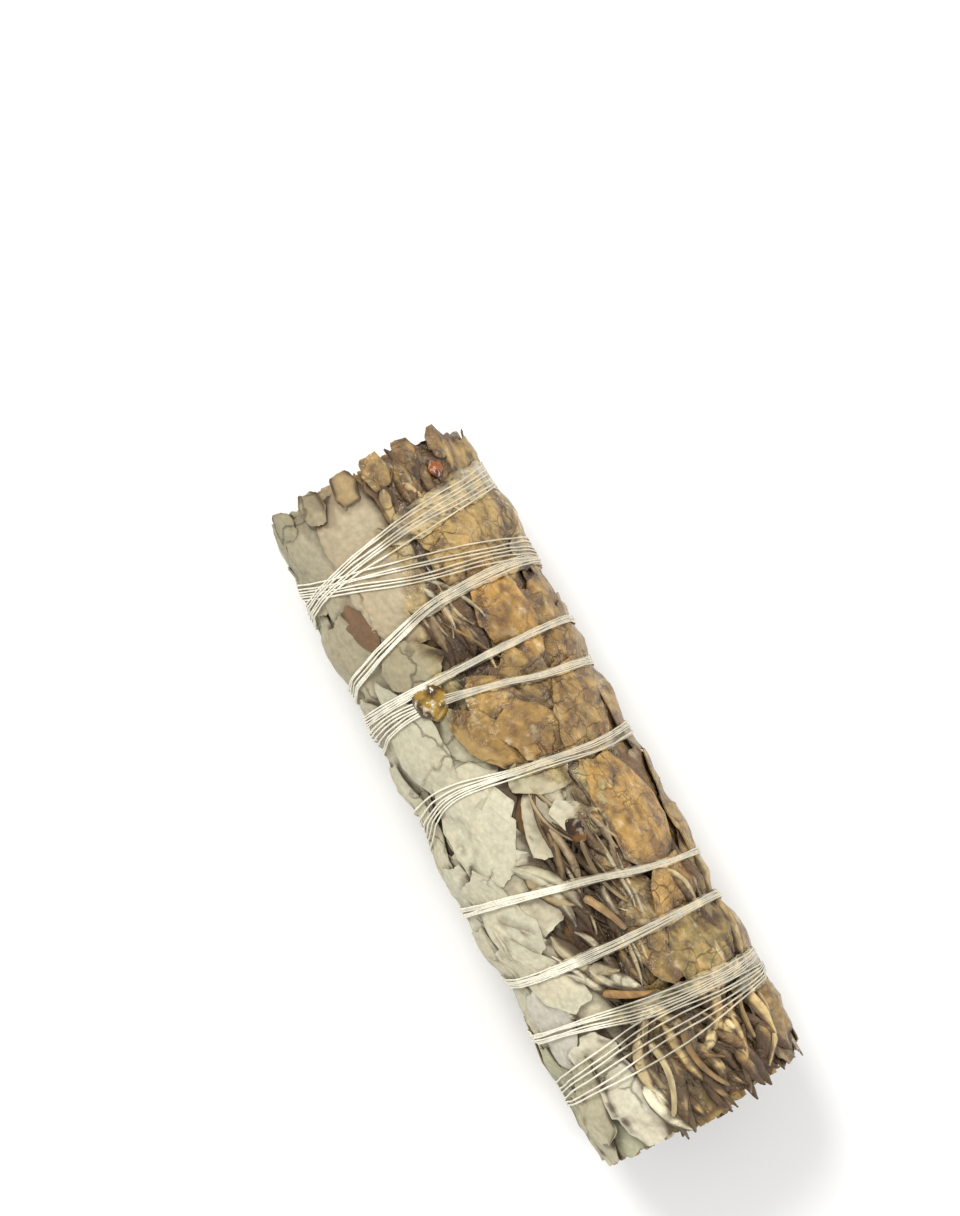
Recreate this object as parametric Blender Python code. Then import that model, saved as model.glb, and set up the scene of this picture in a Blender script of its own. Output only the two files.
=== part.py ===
"""A dried white sage bundle lying on its side: rolled leaves and stems in the core, flat leaves laid
round them, a flat cotton thread wound round the lot, and drops of resin on one flank.

Run with: blender --background --python part.py

The bundle lies along X and rests on Z = 0. Sizes are in millimetres and degrees, and are turned into
metres only where a mesh is made. "Around" is the angle round the bundle's axis, from straight up
towards +Y. Every leaf, stalk and drop is laid on a map of the surface below it, and the thread on the
outermost pieces themselves, so none overlap.
"""

import math
from collections import namedtuple

import bmesh
import bpy
import numpy as np
from mathutils import Vector
from mathutils.bvhtree import BVHTree

MM = 0.001

# Driving dimensions.
HALF_LENGTH = 50.0
CORE_RADIUS = 14.0
GAP = 0.32
LEAF_THICK = 0.5
RAGGED = 0.5
ROLL_THICK = 0.55
THREAD_THICK = 0.3
THREAD_WIDTH = 1.5
PINCH_DEPTH = 1.1
PINCH_REACH = 2.9
GROOVE_HALF = 1.1
FACET_SAG = 0.15

# The underside is pressed flat: how much of the round shape is lost there, how far up into the bundle
# that is felt, how much of the lowest leaf is worn away, and how thick the thread stays below it.
PRESSED = 0.55
PRESSED_HEIGHT = 8.0
PRESSED_STATIONS = 21
WORN = 0.25
THREAD_WORN = 0.12

# The surface map's cells, and the steps of the leaves' grids and of the thread.
CELL_ALONG = 0.5
CELL_AROUND = 2.0
LEAF_STEPS = (2.9, 3.0)
UNDER_LEAF_STEPS = (3.8, 3.9)
THREAD_STEP_AROUND = 12.0

# What a leaf's flat facets may stand above the heights read at its own rows.
LEAF_SLACK = 0.05

# Core: rolled leaves in two rings round a middle stem, with thinner stems between the rings.
INNER_ROLLS = 5
INNER_RING_RADIUS = 5.1
OUTER_ROLLS = 8
OUTER_RING_RADIUS = 10.3
ROLL_TURNS = 1.6
ROLL_START = 0.3
ROLL_STEP = 30.0
MIDDLE_STEM_RADIUS = 1.7
SIDE_STEMS = 4
SIDE_STEM_RING_RADIUS = 7.8
SIDE_STEM_RADII = (1.4, 1.0, 1.5, 1.15)

Leaf = namedtuple("Leaf", "name start end around_start around_end width start_shape end_shape material")
Stalk = namedtuple("Stalk", "name start end around_start around_end radius")
Drop = namedtuple("Drop", "name along around length width height")
Turn = namedtuple("Turn", "at_pale low_pale top high_resin at_resin")

# Leaves, from the innermost out. Start and end are along X, and the shape of an end is "cut" where
# the bundle was trimmed, "blunt" or "tip".
UNDER_LEAVES = [
    Leaf("under_leaf_1", -49.2, 8.0, 5, 2, 23, "cut", "blunt", "leaf_resin"),
    Leaf("under_leaf_2", -49.9, 4.0, 76, 80, 22, "cut", "tip", "leaf_resin"),
    Leaf("under_leaf_3", -48.6, 9.0, 150, 144, 23, "cut", "blunt", "leaf_olive"),
    Leaf("under_leaf_4", -49.6, 3.0, 220, 216, 22, "cut", "tip", "leaf_pale"),
    Leaf("under_leaf_5", -49.0, 7.0, 292, 290, 22, "cut", "blunt", "leaf_pale"),
    Leaf("under_leaf_6", -6.0, 49.4, 40, 36, 23, "blunt", "cut", "leaf_resin"),
    Leaf("under_leaf_7", -3.0, 48.8, 106, 110, 22, "tip", "cut", "leaf_olive"),
    Leaf("under_leaf_8", -8.0, 49.8, 178, 182, 23, "blunt", "cut", "leaf_olive"),
    Leaf("under_leaf_9", -2.0, 49.0, 250, 254, 22, "tip", "cut", "leaf_pale"),
    Leaf("under_leaf_10", -5.0, 49.6, 326, 322, 23, "blunt", "cut", "leaf_pale"),
]
BACK_LEAVES = [
    Leaf("back_leaf_1", 4.0, 49.5, 166, 174, 18, "tip", "cut", "leaf_olive"),
    Leaf("back_leaf_2", -49.3, -9.5, 186, 180, 18, "cut", "tip", "leaf_pale"),
    Leaf("back_leaf_3", 8.0, 50.0, 214, 220, 17, "tip", "cut", "leaf_pale"),
    Leaf("back_leaf_4", -50.0, -6.0, 136, 140, 16, "cut", "tip", "leaf_olive"),
    Leaf("back_leaf_5", -30.0, 16.0, 248, 254, 15, "tip", "tip", "leaf_pale"),
]
PALE_LEAVES = [
    Leaf("pale_leaf_1", 36.0, 49.7, -52, -46, 13, "tip", "cut", "leaf_pale"),
    Leaf("pale_leaf_2", 24.0, 37.0, -56, -60, 10, "blunt", "blunt", "leaf_pale"),
    Leaf("pale_leaf_3", 11.0, 30.0, -44, -30, 12, "tip", "tip", "leaf_pale"),
    Leaf("pale_leaf_4", 3.0, 17.5, -30, -34, 12, "tip", "blunt", "leaf_pale"),
    Leaf("pale_leaf_5", -9.0, 8.0, -40, -40, 14, "blunt", "blunt", "leaf_pale"),
    Leaf("pale_leaf_6", -24.0, -4.0, -34, -46, 10, "tip", "tip", "leaf_pale"),
    Leaf("pale_leaf_7", -35.0, -17.0, -66, -60, 9, "blunt", "tip", "leaf_pale"),
    Leaf("pale_leaf_8", -50.0, -29.0, -52, -46, 10, "cut", "tip", "leaf_pale"),
    Leaf("pale_leaf_9", -49.2, -27.0, -18, -22, 10, "cut", "blunt", "leaf_pale"),
]
RESIN_LEAVES = [
    Leaf("resin_leaf_1", -49.6, -36.0, 42, 46, 14, "cut", "tip", "leaf_resin"),
    Leaf("resin_leaf_2", -37.0, -19.0, 40, 46, 9, "tip", "tip", "leaf_resin"),
    Leaf("resin_leaf_3", -30.0, -15.0, 20, 22, 9, "blunt", "tip", "leaf_resin"),
    Leaf("resin_leaf_4", -24.0, -3.0, 56, 48, 10, "tip", "blunt", "leaf_resin"),
    Leaf("resin_leaf_5", 0.0, 19.0, 42, 40, 13, "blunt", "tip", "leaf_resin"),
    Leaf("resin_leaf_6", 17.0, 26.0, 44, 38, 8, "tip", "blunt", "leaf_resin"),
    Leaf("resin_leaf_7", 24.0, 35.0, 38, 34, 9, "tip", "tip", "leaf_olive"),
    Leaf("resin_leaf_8", 35.0, 49.8, 50, 44, 12, "tip", "cut", "leaf_olive"),
]

# Leaf stalks that lie on the surface.
STALKS = [
    Stalk("surface_stalk_1", 26.0, 34.0, -13, 8, 0.65),
    Stalk("surface_stalk_2", 14.5, 22.0, -4, 4, 0.65),
    Stalk("surface_stalk_3", 38.0, 49.5, 10, 20, 0.7),
    Stalk("surface_stalk_4", 37.0, 49.0, -8, -14, 0.6),
]

# The thread's turns: where each one lies along X at -90, -35, 0, 35 and 90 degrees around. Behind the
# bundle it crosses from the end of one turn to the start of the next.
TURNS = [
    Turn(-41.2, -39.8, -40.8, -43.0, -45.0),
    Turn(-38.0, -37.0, -34.2, -31.8, -30.0),
    Turn(-24.0, -26.8, -29.0, -29.2, -27.4),
    Turn(-20.4, -20.2, -20.6, -19.6, -18.2),
    Turn(-16.0, -17.6, -15.6, -13.8, -12.6),
    Turn(-3.4, -5.0, -4.4, -3.2, -2.4),
    Turn(9.8, 11.8, 13.6, 16.6, 18.2),
    Turn(21.6, 23.0, 23.6, 24.1, 25.0),
    Turn(29.6, 31.4, 33.0, 33.4, 33.4),
    Turn(40.0, 38.6, 36.9, 36.0, 36.6),
]
THREAD = "cotton_thread"
TURN_AROUND = (-90.0, -35.0, 0.0, 35.0, 90.0)

# Drops of hardened resin.
DROPS = [
    Drop("resin_drop_1", -17.6, -25, 3.4, 3.0, 1.1),
    Drop("resin_drop_2", 8.4, 6, 3.4, 3.0, 0.7),
    Drop("resin_drop_3", -46.2, 10, 2.4, 3.2, 0.7),
]

# Name, colour, roughness.
MATERIALS = {
    "leaf_pale": ((0.50, 0.49, 0.39), 0.9),
    "leaf_olive": ((0.33, 0.30, 0.15), 0.6),
    "leaf_resin": ((0.40, 0.24, 0.09), 0.3),
    "stem": ((0.42, 0.30, 0.15), 0.7),
    "cotton": ((0.80, 0.77, 0.68), 0.9),
    "resin": ((0.45, 0.29, 0.05), 0.15),
}


def clear_scene():
    for obj in list(bpy.data.objects):
        bpy.data.objects.remove(obj)


def make_materials():
    made = {}
    for name, (colour, roughness) in MATERIALS.items():
        material = bpy.data.materials.new(name)
        material.use_nodes = True
        shader = material.node_tree.nodes["Principled BSDF"]
        shader.inputs["Base Color"].default_value = (*colour, 1.0)
        shader.inputs["Roughness"].default_value = roughness
        shader.inputs["Metallic"].default_value = 0.0
        made[name] = material
    return made


def add_object(name, data, material):
    data.materials.append(material)
    obj = bpy.data.objects.new(name, data)
    bpy.context.scene.collection.objects.link(obj)
    return obj


def add_solid(name, points, faces, material):
    """A mesh object from points in millimetres, with its faces turned outwards."""
    shape = bmesh.new()
    corners = [shape.verts.new([c * MM for c in point]) for point in points]
    for face in faces:
        shape.faces.new([corners[i] for i in face])
    bmesh.ops.recalc_face_normals(shape, faces=shape.faces)
    mesh = bpy.data.meshes.new(name)
    shape.to_mesh(mesh)
    shape.free()
    return add_object(name, mesh, material)


def add_tube(name, points, radius, material, cyclic=False):
    """A round tube through points in millimetres, as a curve with closed ends."""
    curve = bpy.data.curves.new(name, "CURVE")
    curve.dimensions = "3D"
    curve.bevel_depth = radius * MM
    curve.bevel_resolution = 1
    curve.use_fill_caps = True
    line = curve.splines.new("POLY")
    line.points.add(len(points) - 1)
    line.use_cyclic_u = cyclic
    for spot, point in zip(line.points, points):
        spot.co = (*[c * MM for c in point], 1.0)
    return add_object(name, curve, material)


def at(along, around, radius):
    """The point at this place on the bundle, with the axis along X through the origin."""
    angle = math.radians(around)
    return (along, radius * math.sin(angle), radius * math.cos(angle))


class Surface:
    """The radius of what has been laid so far, on a grid of cells along and around the bundle."""

    def __init__(self, radius):
        reach = HALF_LENGTH + 5.0
        self.along = np.arange(-reach, reach + CELL_ALONG / 2, CELL_ALONG)
        self.around = np.arange(0.0, 360.0, CELL_AROUND)
        self.radius = np.full((len(self.around), len(self.along)), radius)

    def highest(self, along, around, reach_along, reach_around):
        """The largest radius within reach of a place."""
        columns = np.abs(self.along - along) <= reach_along + CELL_ALONG
        rows = np.abs(turn_between(self.around, around)) <= reach_around + CELL_AROUND
        return self.radius[np.ix_(rows, columns)].max()

    def raise_leaf(self, leaf, shares, tops):
        """Raises the cells under a leaf to its outer face."""
        share = (self.along - leaf.start) / (leaf.end - leaf.start)
        for column in np.flatnonzero((share >= 0) & (share <= 1)):
            middle, half = leaf_middle(leaf, share[column]), leaf_half_angle(leaf, share[column])
            across = turn_between(self.around, middle) / half
            inside = np.abs(across) <= 1.0
            after = max(1, np.searchsorted(shares, share[column]))
            row = np.maximum(tops[after - 1], tops[min(after, len(tops) - 1)])
            spots = np.linspace(-1, 1, len(row))
            height = np.interp(across[inside], spots, row)
            self.radius[inside, column] = np.maximum(self.radius[inside, column], height + LEAF_SLACK)

    def raise_disc(self, along, around, reach_along, reach_around, radius):
        """Raises the cells within reach of a place."""
        columns = np.abs(self.along - along) <= reach_along
        rows = np.abs(turn_between(self.around, around)) <= reach_around
        block = np.ix_(rows, columns)
        self.radius[block] = np.maximum(self.radius[block], radius)


def turn_between(angles, angle):
    """The signed angle from one place around the bundle to others, from -180 to 180."""
    return (np.asarray(angles) - angle + 180.0) % 360.0 - 180.0


def leaf_middle(leaf, share):
    return leaf.around_start + (leaf.around_end - leaf.around_start) * share


def end_width(shape, share):
    """How wide a leaf is this far from one of its ends, as a share of its full width."""
    if shape == "cut":
        return 1.0
    narrow, reach = (0.62, 0.16) if shape == "blunt" else (0.2, 0.5)
    rise = min(share / reach, 1.0)
    return narrow + (1.0 - narrow) * math.sin(rise * math.pi / 2)


def leaf_half_angle(leaf, share):
    """Half the angle that a leaf spans around the bundle."""
    width = end_width(leaf.start_shape, share) * end_width(leaf.end_shape, 1.0 - share) * leaf.width
    return math.degrees(width / 2 / (CORE_RADIUS + 2.0))


def thread_line():
    """The thread's route: its angle, which keeps growing turn after turn, and its place along X."""
    angles, places = [], []
    for index, turn in enumerate(TURNS):
        angles += [around + 360.0 * index for around in TURN_AROUND]
        places += list(turn)
    steps = np.arange(angles[0], angles[-1] + 1.0, THREAD_STEP_AROUND)
    places = smooth_through(np.array(angles), np.array(places), steps)
    return steps, places


def smooth_through(knots, values, spots):
    """A smooth curve through the values, with slopes taken from each value's neighbours."""
    slopes = np.gradient(values, knots)
    found = np.clip(np.searchsorted(knots, spots, side="right") - 1, 0, len(knots) - 2)
    span = knots[found + 1] - knots[found]
    t = (spots - knots[found]) / span
    return (
        values[found] * (2 * t**3 - 3 * t**2 + 1)
        + values[found + 1] * (3 * t**2 - 2 * t**3)
        + slopes[found] * span * (t**3 - 2 * t**2 + t)
        + slopes[found + 1] * span * (t**3 - t**2)
    )


def pinch(along, around, line):
    """How far the thread's pull draws the bundle in at a place."""
    angles, places = line
    near = np.abs(turn_between(angles, around)) <= 0.6 * THREAD_STEP_AROUND
    if not near.any():
        return 0.0
    nearest = np.abs(places[near] - along).min()
    return PINCH_DEPTH * math.exp(-((nearest / PINCH_REACH) ** 2) / 2)


def strip_faces(rows, columns):
    """Faces of a closed slab: an outer grid of points, then an inner one, and the rim between."""
    faces = []
    inner = rows * columns
    for i in range(rows - 1):
        for j in range(columns - 1):
            a, b = i * columns + j, (i + 1) * columns + j
            faces.append((a, a + 1, b + 1, b))
            faces.append((inner + a, inner + b, inner + b + 1, inner + a + 1))
    rim = (
        [j for j in range(columns)]
        + [i * columns + columns - 1 for i in range(1, rows)]
        + [(rows - 1) * columns + j for j in range(columns - 2, -1, -1)]
        + [i * columns for i in range(rows - 2, 0, -1)]
    )
    for a, b in zip(rim, rim[1:] + rim[:1]):
        faces.append((b, a, inner + a, inner + b))
    return faces


def lay_leaf(leaf, steps, surface, line, material):
    """One leaf, laid on whatever is under it and drawn in where the thread presses."""
    shares = leaf_rows(leaf, steps[0], line if steps == LEAF_STEPS else None)
    rows, columns = len(shares), max(3, round(leaf.width / steps[1])) + 1
    across = np.linspace(-1, 1, columns)
    gaps = np.diff(shares, prepend=0.0, append=1.0)
    reaches = np.maximum(gaps[:-1], gaps[1:]) * (leaf.end - leaf.start)
    drift = abs(leaf.around_end - leaf.around_start) / (rows - 1)
    bases = np.zeros((rows, columns))
    places = []
    for i, (share, reach_along) in enumerate(zip(shares, reaches)):
        middle, half = leaf_middle(leaf, share), leaf_half_angle(leaf, share)
        along = leaf.start + (leaf.end - leaf.start) * share
        for j, side in enumerate(across):
            around = middle + half * side
            reach_around = 2 * half / (columns - 1) + drift
            bases[i, j] = surface.highest(along, around, reach_along, reach_around) + GAP
            places.append((along + ragged(share, j), around))
    tops = bases + LEAF_THICK
    surface.raise_leaf(leaf, shares, tops)
    pulls = [pinch(along, around, line) for along, around in places]
    outer = [at(*place, top - pull) for place, top, pull in zip(places, tops.flat, pulls)]
    inner = [at(*place, base - pull) for place, base, pull in zip(places, bases.flat, pulls)]
    add_solid(leaf.name, outer + inner, strip_faces(rows, columns), material)


def leaf_rows(leaf, step, line):
    """Shares along a leaf for its rows: one on each side of every turn of thread, and more between."""
    stops = [leaf.start, leaf.end]
    if line is not None:
        angles, places = line
        first = leaf_middle(leaf, 0.5) % 360.0 - 360.0
        for angle in np.arange(first, angles[-1], 360.0):
            crossing = np.interp(angle, angles, places)
            if angle > angles[0] and leaf.start + 2 * step / 3 < crossing < leaf.end - 2 * step / 3:
                stops += [crossing - GROOVE_HALF, crossing + GROOVE_HALF]
    stops.sort()
    rows = [leaf.start]
    for a, b in zip(stops, stops[1:]):
        rows += list(np.linspace(a, b, max(1, round((b - a) / step)) + 1)[1:])
    return (np.array(rows) - leaf.start) / (leaf.end - leaf.start)


def ragged(share, column):
    """How far a point on a leaf's edge is moved along the bundle, so that its ends aren't straight."""
    end = 1.0 if share == 1.0 else -1.0
    return end * RAGGED * math.sin(2.3 * column) if share in (0.0, 1.0) else 0.0


def lay_stalk(stalk, surface, line, material):
    """A leaf stalk lying on the leaves."""
    steps = max(3, round(abs(stalk.end - stalk.start) / LEAF_STEPS[0])) + 1
    reach = (stalk.end - stalk.start) / (steps - 1)
    reach_around = math.degrees(stalk.radius / CORE_RADIUS)
    drift = abs(stalk.around_end - stalk.around_start) / (steps - 1)
    points = []
    for share in np.linspace(0, 1, steps):
        along = stalk.start + (stalk.end - stalk.start) * share
        around = stalk.around_start + (stalk.around_end - stalk.around_start) * share
        base = surface.highest(along, around, reach, reach_around + drift) + GAP
        points.append((along, around, base))
    for along, around, base in points:
        top = base + 2 * stalk.radius
        surface.raise_disc(along, around, reach, reach_around + drift, top)
    centre = [at(a, r, base + stalk.radius - pinch(a, r, line)) for a, r, base in points]
    add_tube(stalk.name, centre, stalk.radius, material)


def built_so_far():
    """A search tree of every piece's faces, in millimetres."""
    points, faces = [], []
    bpy.context.view_layer.update()
    for obj in bpy.context.scene.objects:
        mesh = as_mesh(obj)
        first = len(points)
        points += [obj.matrix_world @ vert.co / MM for vert in mesh.vertices]
        faces += [[first + i for i in face.vertices] for face in mesh.polygons]
    return BVHTree.FromPolygons(points, faces)


def outermost(tree, along, around):
    """How far from the axis the outermost piece is at a place."""
    far = Vector(at(along, around, 2 * CORE_RADIUS))
    way = Vector(at(0.0, around, -1.0))
    hit = tree.ray_cast(far, way)[0]
    return math.hypot(hit.y, hit.z)


def wind_thread(line, material):
    """The flat cotton thread, wound over everything else."""
    tree = built_so_far()
    steps, places = line
    slopes = np.gradient(places, steps) * THREAD_STEP_AROUND
    points = []
    for angle, along, slope in zip(steps, places, slopes):
        reach = (THREAD_WIDTH + abs(slope)) / 2 + 2 * FACET_SAG
        spots = np.linspace(along - reach, along + reach, 9)
        turns = np.linspace(-0.8, 0.8, 11) * THREAD_STEP_AROUND + angle
        base = max(outermost(tree, spot, turn) for spot in spots for turn in turns) + GAP
        for side, height in ((-0.5, 0), (0.5, 0), (0.5, 1), (-0.5, 1)):
            radius = base + height * THREAD_THICK
            points.append(at(along + side * THREAD_WIDTH, angle, radius))
    faces = [(0, 1, 2, 3)]
    last = len(points) - 4
    faces.append((last + 3, last + 2, last + 1, last))
    for ring in range(0, last, 4):
        for k in range(4):
            a, b = ring + k, ring + (k + 1) % 4
            faces.append((a, a + 4, b + 4, b))
    add_solid(THREAD, points, faces, material)


def set_drop(drop, surface, line, material):
    """A drop of resin: a ball flattened against the leaves."""
    reach_around = math.degrees(drop.width / 2 / CORE_RADIUS)
    base = surface.highest(drop.along, drop.around, drop.length / 2, reach_around) + GAP
    shape = bmesh.new()
    bmesh.ops.create_icosphere(shape, subdivisions=2, radius=1.0)
    for vert in shape.verts:
        along = drop.along + vert.co.x * drop.length / 2
        around = drop.around + vert.co.y * reach_around
        radius = base + (vert.co.z + 1.0) * drop.height / 2 - pinch(along, around, line)
        vert.co = [c * MM for c in at(along, around, radius)]
    bmesh.ops.recalc_face_normals(shape, faces=shape.faces)
    mesh = bpy.data.meshes.new(drop.name)
    shape.to_mesh(mesh)
    shape.free()
    add_object(drop.name, mesh, material)
    surface.raise_disc(drop.along, drop.around, drop.length / 2, reach_around, base + drop.height)


def ring_of(count, radius, first):
    """Places of a ring of pieces in the bundle's cross-section."""
    angles = [math.radians(first + 360.0 * k / count) for k in range(count)]
    return [(radius * math.sin(a), radius * math.cos(a)) for a in angles]


def roll_reach(centre, direction, rolls, stems):
    """How far a rolled leaf reaches from its middle before it meets a neighbour."""
    own, way = np.array(centre), np.array(direction)
    limit = CORE_RADIUS - PINCH_DEPTH - FACET_SAG
    outward = own @ way
    best = math.sqrt(outward**2 + limit**2 - own @ own) - outward
    for other in rolls:
        apart = np.array(other) - own
        distance = np.linalg.norm(apart)
        facing = apart @ way / distance if distance > 0 else 0.0
        if facing > 0.05:
            best = min(best, (distance - GAP) / 2 / facing)
    for place, radius in stems:
        apart = np.array(place) - own
        nearest = apart @ way
        miss = apart @ apart - nearest**2
        clear = (radius + GAP) ** 2
        if nearest > 0 and miss < clear:
            best = min(best, nearest - math.sqrt(clear - miss))
    return best


def roll_leaf(name, centre, first, ends, rolls, stems, material):
    """A leaf rolled along the bundle, whose coil fills the room between its neighbours."""
    angles = np.arange(0.0, ROLL_TURNS * 360.0 + 1.0, ROLL_STEP)
    section = []
    for angle in angles:
        turn = math.radians(first + angle)
        way = (math.sin(turn), math.cos(turn))
        share = ROLL_START + (1.0 - ROLL_START) * angle / angles[-1]
        outer = share * roll_reach(centre, way, rolls, stems)
        faces = (outer, outer - ROLL_THICK)
        section.append([(centre[0] + way[0] * r, centre[1] + way[1] * r) for r in faces])
    points = []
    for side in (0, 1):
        for along in ends:
            points += [(along, *pair[side]) for pair in section]
    add_solid(name, points, strip_faces(2, len(section)), material)


def build_core(material_roll, material_stem):
    """The rolled leaves and the stems that the outer leaves are laid round."""
    side_places = ring_of(SIDE_STEMS, SIDE_STEM_RING_RADIUS, 20.0)
    stems = [((0.0, 0.0), MIDDLE_STEM_RADIUS)] + list(zip(side_places, SIDE_STEM_RADII))
    rolls = ring_of(INNER_ROLLS, INNER_RING_RADIUS, 56.0) + ring_of(OUTER_ROLLS, OUTER_RING_RADIUS, 0.0)
    for index, ((y, z), radius) in enumerate(stems):
        trim = 0.9 * math.sin(2.4 * index)
        ends = (-HALF_LENGTH + 0.9 + trim, HALF_LENGTH - 1.4 + trim / 2)
        points = [(along, y, z) for along in ends]
        add_tube(f"core_stem_{index + 1}", points, radius, material_stem)
    for index, centre in enumerate(rolls):
        trim = 0.7 * math.sin(1.7 * index)
        ends = (-HALF_LENGTH + 1.2 + trim, HALF_LENGTH - 1.2 + trim)
        first = 137.0 * index
        roll_leaf(f"rolled_leaf_{index + 1}", centre, first, ends, rolls, stems, material_roll)


def pressed(point, radius, level):
    """A point in millimetres, moved by the flat that the bundle rests on."""
    along, y, z = point
    round_bottom = -math.sqrt(max(radius**2 - y**2, 0.0))
    lift = max(0.0, PRESSED - radius - round_bottom) + radius - level
    share = (-z - radius + PRESSED_HEIGHT) / PRESSED_HEIGHT
    return (along, y, z + lift * min(max(share, 0.0), 1.0))


def rest_on_surface():
    """Presses the underside flat and stands the bundle's box centred on the origin."""
    spots, leaves = [], []
    bpy.context.view_layer.update()
    for obj in bpy.context.scene.objects:
        if obj.type == "CURVE":
            spots += [(spot, 0.0) for spot in obj.data.splines[0].points]
        elif obj.name == THREAD:
            inner_face = (THREAD_WORN * MM, THREAD_WORN * MM, 0.0, 0.0)
            spots += [(vert, inner_face[vert.index % 4]) for vert in obj.data.vertices]
        else:
            spots += [(vert, 0.0) for vert in obj.data.vertices]
            leaves += [vert.co for vert in obj.data.vertices]
    leaf_points = np.array(leaves) / MM
    stations = np.linspace(-HALF_LENGTH, HALF_LENGTH, PRESSED_STATIONS)
    near = [np.abs(leaf_points[:, 0] - station) < PRESSED_HEIGHT for station in stations]
    radii = [-leaf_points[rows, 2].min() for rows in near]
    for spot, lowest in spots:
        point = [c / MM for c in spot.co[:3]]
        radius = np.interp(point[0], stations, radii)
        spot.co[:3] = [c * MM for c in pressed(point, radius, np.mean(radii))]
    floor = min(corner.z for corner in leaves) + WORN * MM
    corners = np.array([spot.co[:3] for spot, lowest in spots])
    middle = (corners.min(axis=0) + corners.max(axis=0)) / 2
    for spot, lowest in spots:
        height = max(spot.co[2] - floor, lowest)
        spot.co[:3] = (spot.co[0] - middle[0], spot.co[1] - middle[1], height)


def as_mesh(obj):
    """The object's shape as a mesh."""
    return bpy.data.meshes.new_from_object(obj.evaluated_get(bpy.context.evaluated_depsgraph_get()))


def main():
    clear_scene()
    materials = make_materials()
    surface = Surface(CORE_RADIUS)
    line = thread_line()
    build_core(materials["leaf_olive"], materials["stem"])
    for leaf in UNDER_LEAVES:
        lay_leaf(leaf, UNDER_LEAF_STEPS, surface, line, materials[leaf.material])
    for leaf in BACK_LEAVES + PALE_LEAVES + RESIN_LEAVES:
        lay_leaf(leaf, LEAF_STEPS, surface, line, materials[leaf.material])
    for stalk in STALKS:
        lay_stalk(stalk, surface, line, materials["stem"])
    for drop in DROPS:
        set_drop(drop, surface, line, materials["resin"])
    wind_thread(line, materials["cotton"])
    rest_on_surface()


main()
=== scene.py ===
"""Looks of the dried sage bundle: crumpled leaves, stems, cotton strands and resin.

The bundle lies along X. Places on it are given by x, in millimetres, and by the angle around its axis,
in degrees, from straight up towards +Y. Each leaf is draped over a map of what lies below it. Sizes
are in millimetres and colours are 8-bit sRGB until a mesh is made.
"""
import math
from collections import namedtuple

import bpy
import numpy as np
from mathutils import Matrix, Vector

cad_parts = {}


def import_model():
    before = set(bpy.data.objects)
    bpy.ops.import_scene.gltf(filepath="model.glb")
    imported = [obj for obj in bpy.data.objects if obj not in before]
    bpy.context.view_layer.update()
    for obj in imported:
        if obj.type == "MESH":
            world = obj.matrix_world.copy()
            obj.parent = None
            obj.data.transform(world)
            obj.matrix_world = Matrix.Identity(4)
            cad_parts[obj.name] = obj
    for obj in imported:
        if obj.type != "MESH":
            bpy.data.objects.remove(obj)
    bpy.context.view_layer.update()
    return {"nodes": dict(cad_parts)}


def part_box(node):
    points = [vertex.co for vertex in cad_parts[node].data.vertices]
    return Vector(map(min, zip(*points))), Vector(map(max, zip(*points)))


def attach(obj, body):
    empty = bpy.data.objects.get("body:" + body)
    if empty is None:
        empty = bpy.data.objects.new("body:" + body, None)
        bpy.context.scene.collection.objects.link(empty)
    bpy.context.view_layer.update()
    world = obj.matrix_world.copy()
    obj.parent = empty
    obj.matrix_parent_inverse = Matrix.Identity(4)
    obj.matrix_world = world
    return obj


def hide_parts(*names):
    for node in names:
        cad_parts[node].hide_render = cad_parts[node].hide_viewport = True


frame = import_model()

MM = 0.001
TAU = 2 * math.pi
STEM_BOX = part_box("core_stem_1")
AXIS_Y = (STEM_BOX[0][1] + STEM_BOX[1][1]) / 2 / MM
AXIS_Z = (STEM_BOX[0][2] + STEM_BOX[1][2]) / 2 / MM

# How far one degree reaches around the bundle, at the outer leaves' mean radius.
DEGREE = math.radians(1.0) * 16.6
CORE_RADIUS = 14.9
HALF_LENGTH = 50.0
END = 49.6
# Past this x, leaves rest at the height they have here, so that they don't droop over the ends.
HELD_END = 48.6
# The thread keeps what piles up above this radius pressed down.
PRESSED_RADIUS = 16.7
# Where a leaf that is placed by y counts as lying.
LEAF_RADIUS = 17.3
# How much thicker the bundle is at its +X end than in its middle, as a share.
TAPER = 0.024
# The bundle's underside starts to flatten at a height, and always clears the floor by a gap.
FLOOR_GAP, FLAT_BELOW = 0.04, 1.5
RNG = np.random.default_rng(7)

# === Noise and the surface map


class Noise:
    """Smooth noise from -1 to 1 over a plane."""

    def __init__(self, seed, size=97):
        self.grid = np.random.default_rng(seed).uniform(-1, 1, (size, size))

    def __call__(self, u, v):
        u, v = np.broadcast_arrays(np.asarray(u, float), np.asarray(v, float))
        size = len(self.grid)
        i, j = np.floor(u).astype(int), np.floor(v).astype(int)
        s, t = u - i, v - j
        s, t = s * s * (3 - 2 * s), t * t * (3 - 2 * t)
        g = self.grid
        low = g[i % size, j % size] * (1 - s) + g[(i + 1) % size, j % size] * s
        high = g[i % size, (j + 1) % size] * (1 - s) + g[(i + 1) % size, (j + 1) % size] * s
        return low * (1 - t) + high * t

    def fractal(self, u, v, octaves=3):
        total = sum(self(u * 2.1**k + 17 * k, v * 2.1**k + 31 * k) / 2**k for k in range(octaves))
        return total / 1.6


COARSE, MIDDLE, FINE, EDGE = (Noise(seed) for seed in (11, 12, 13, 14))


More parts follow.
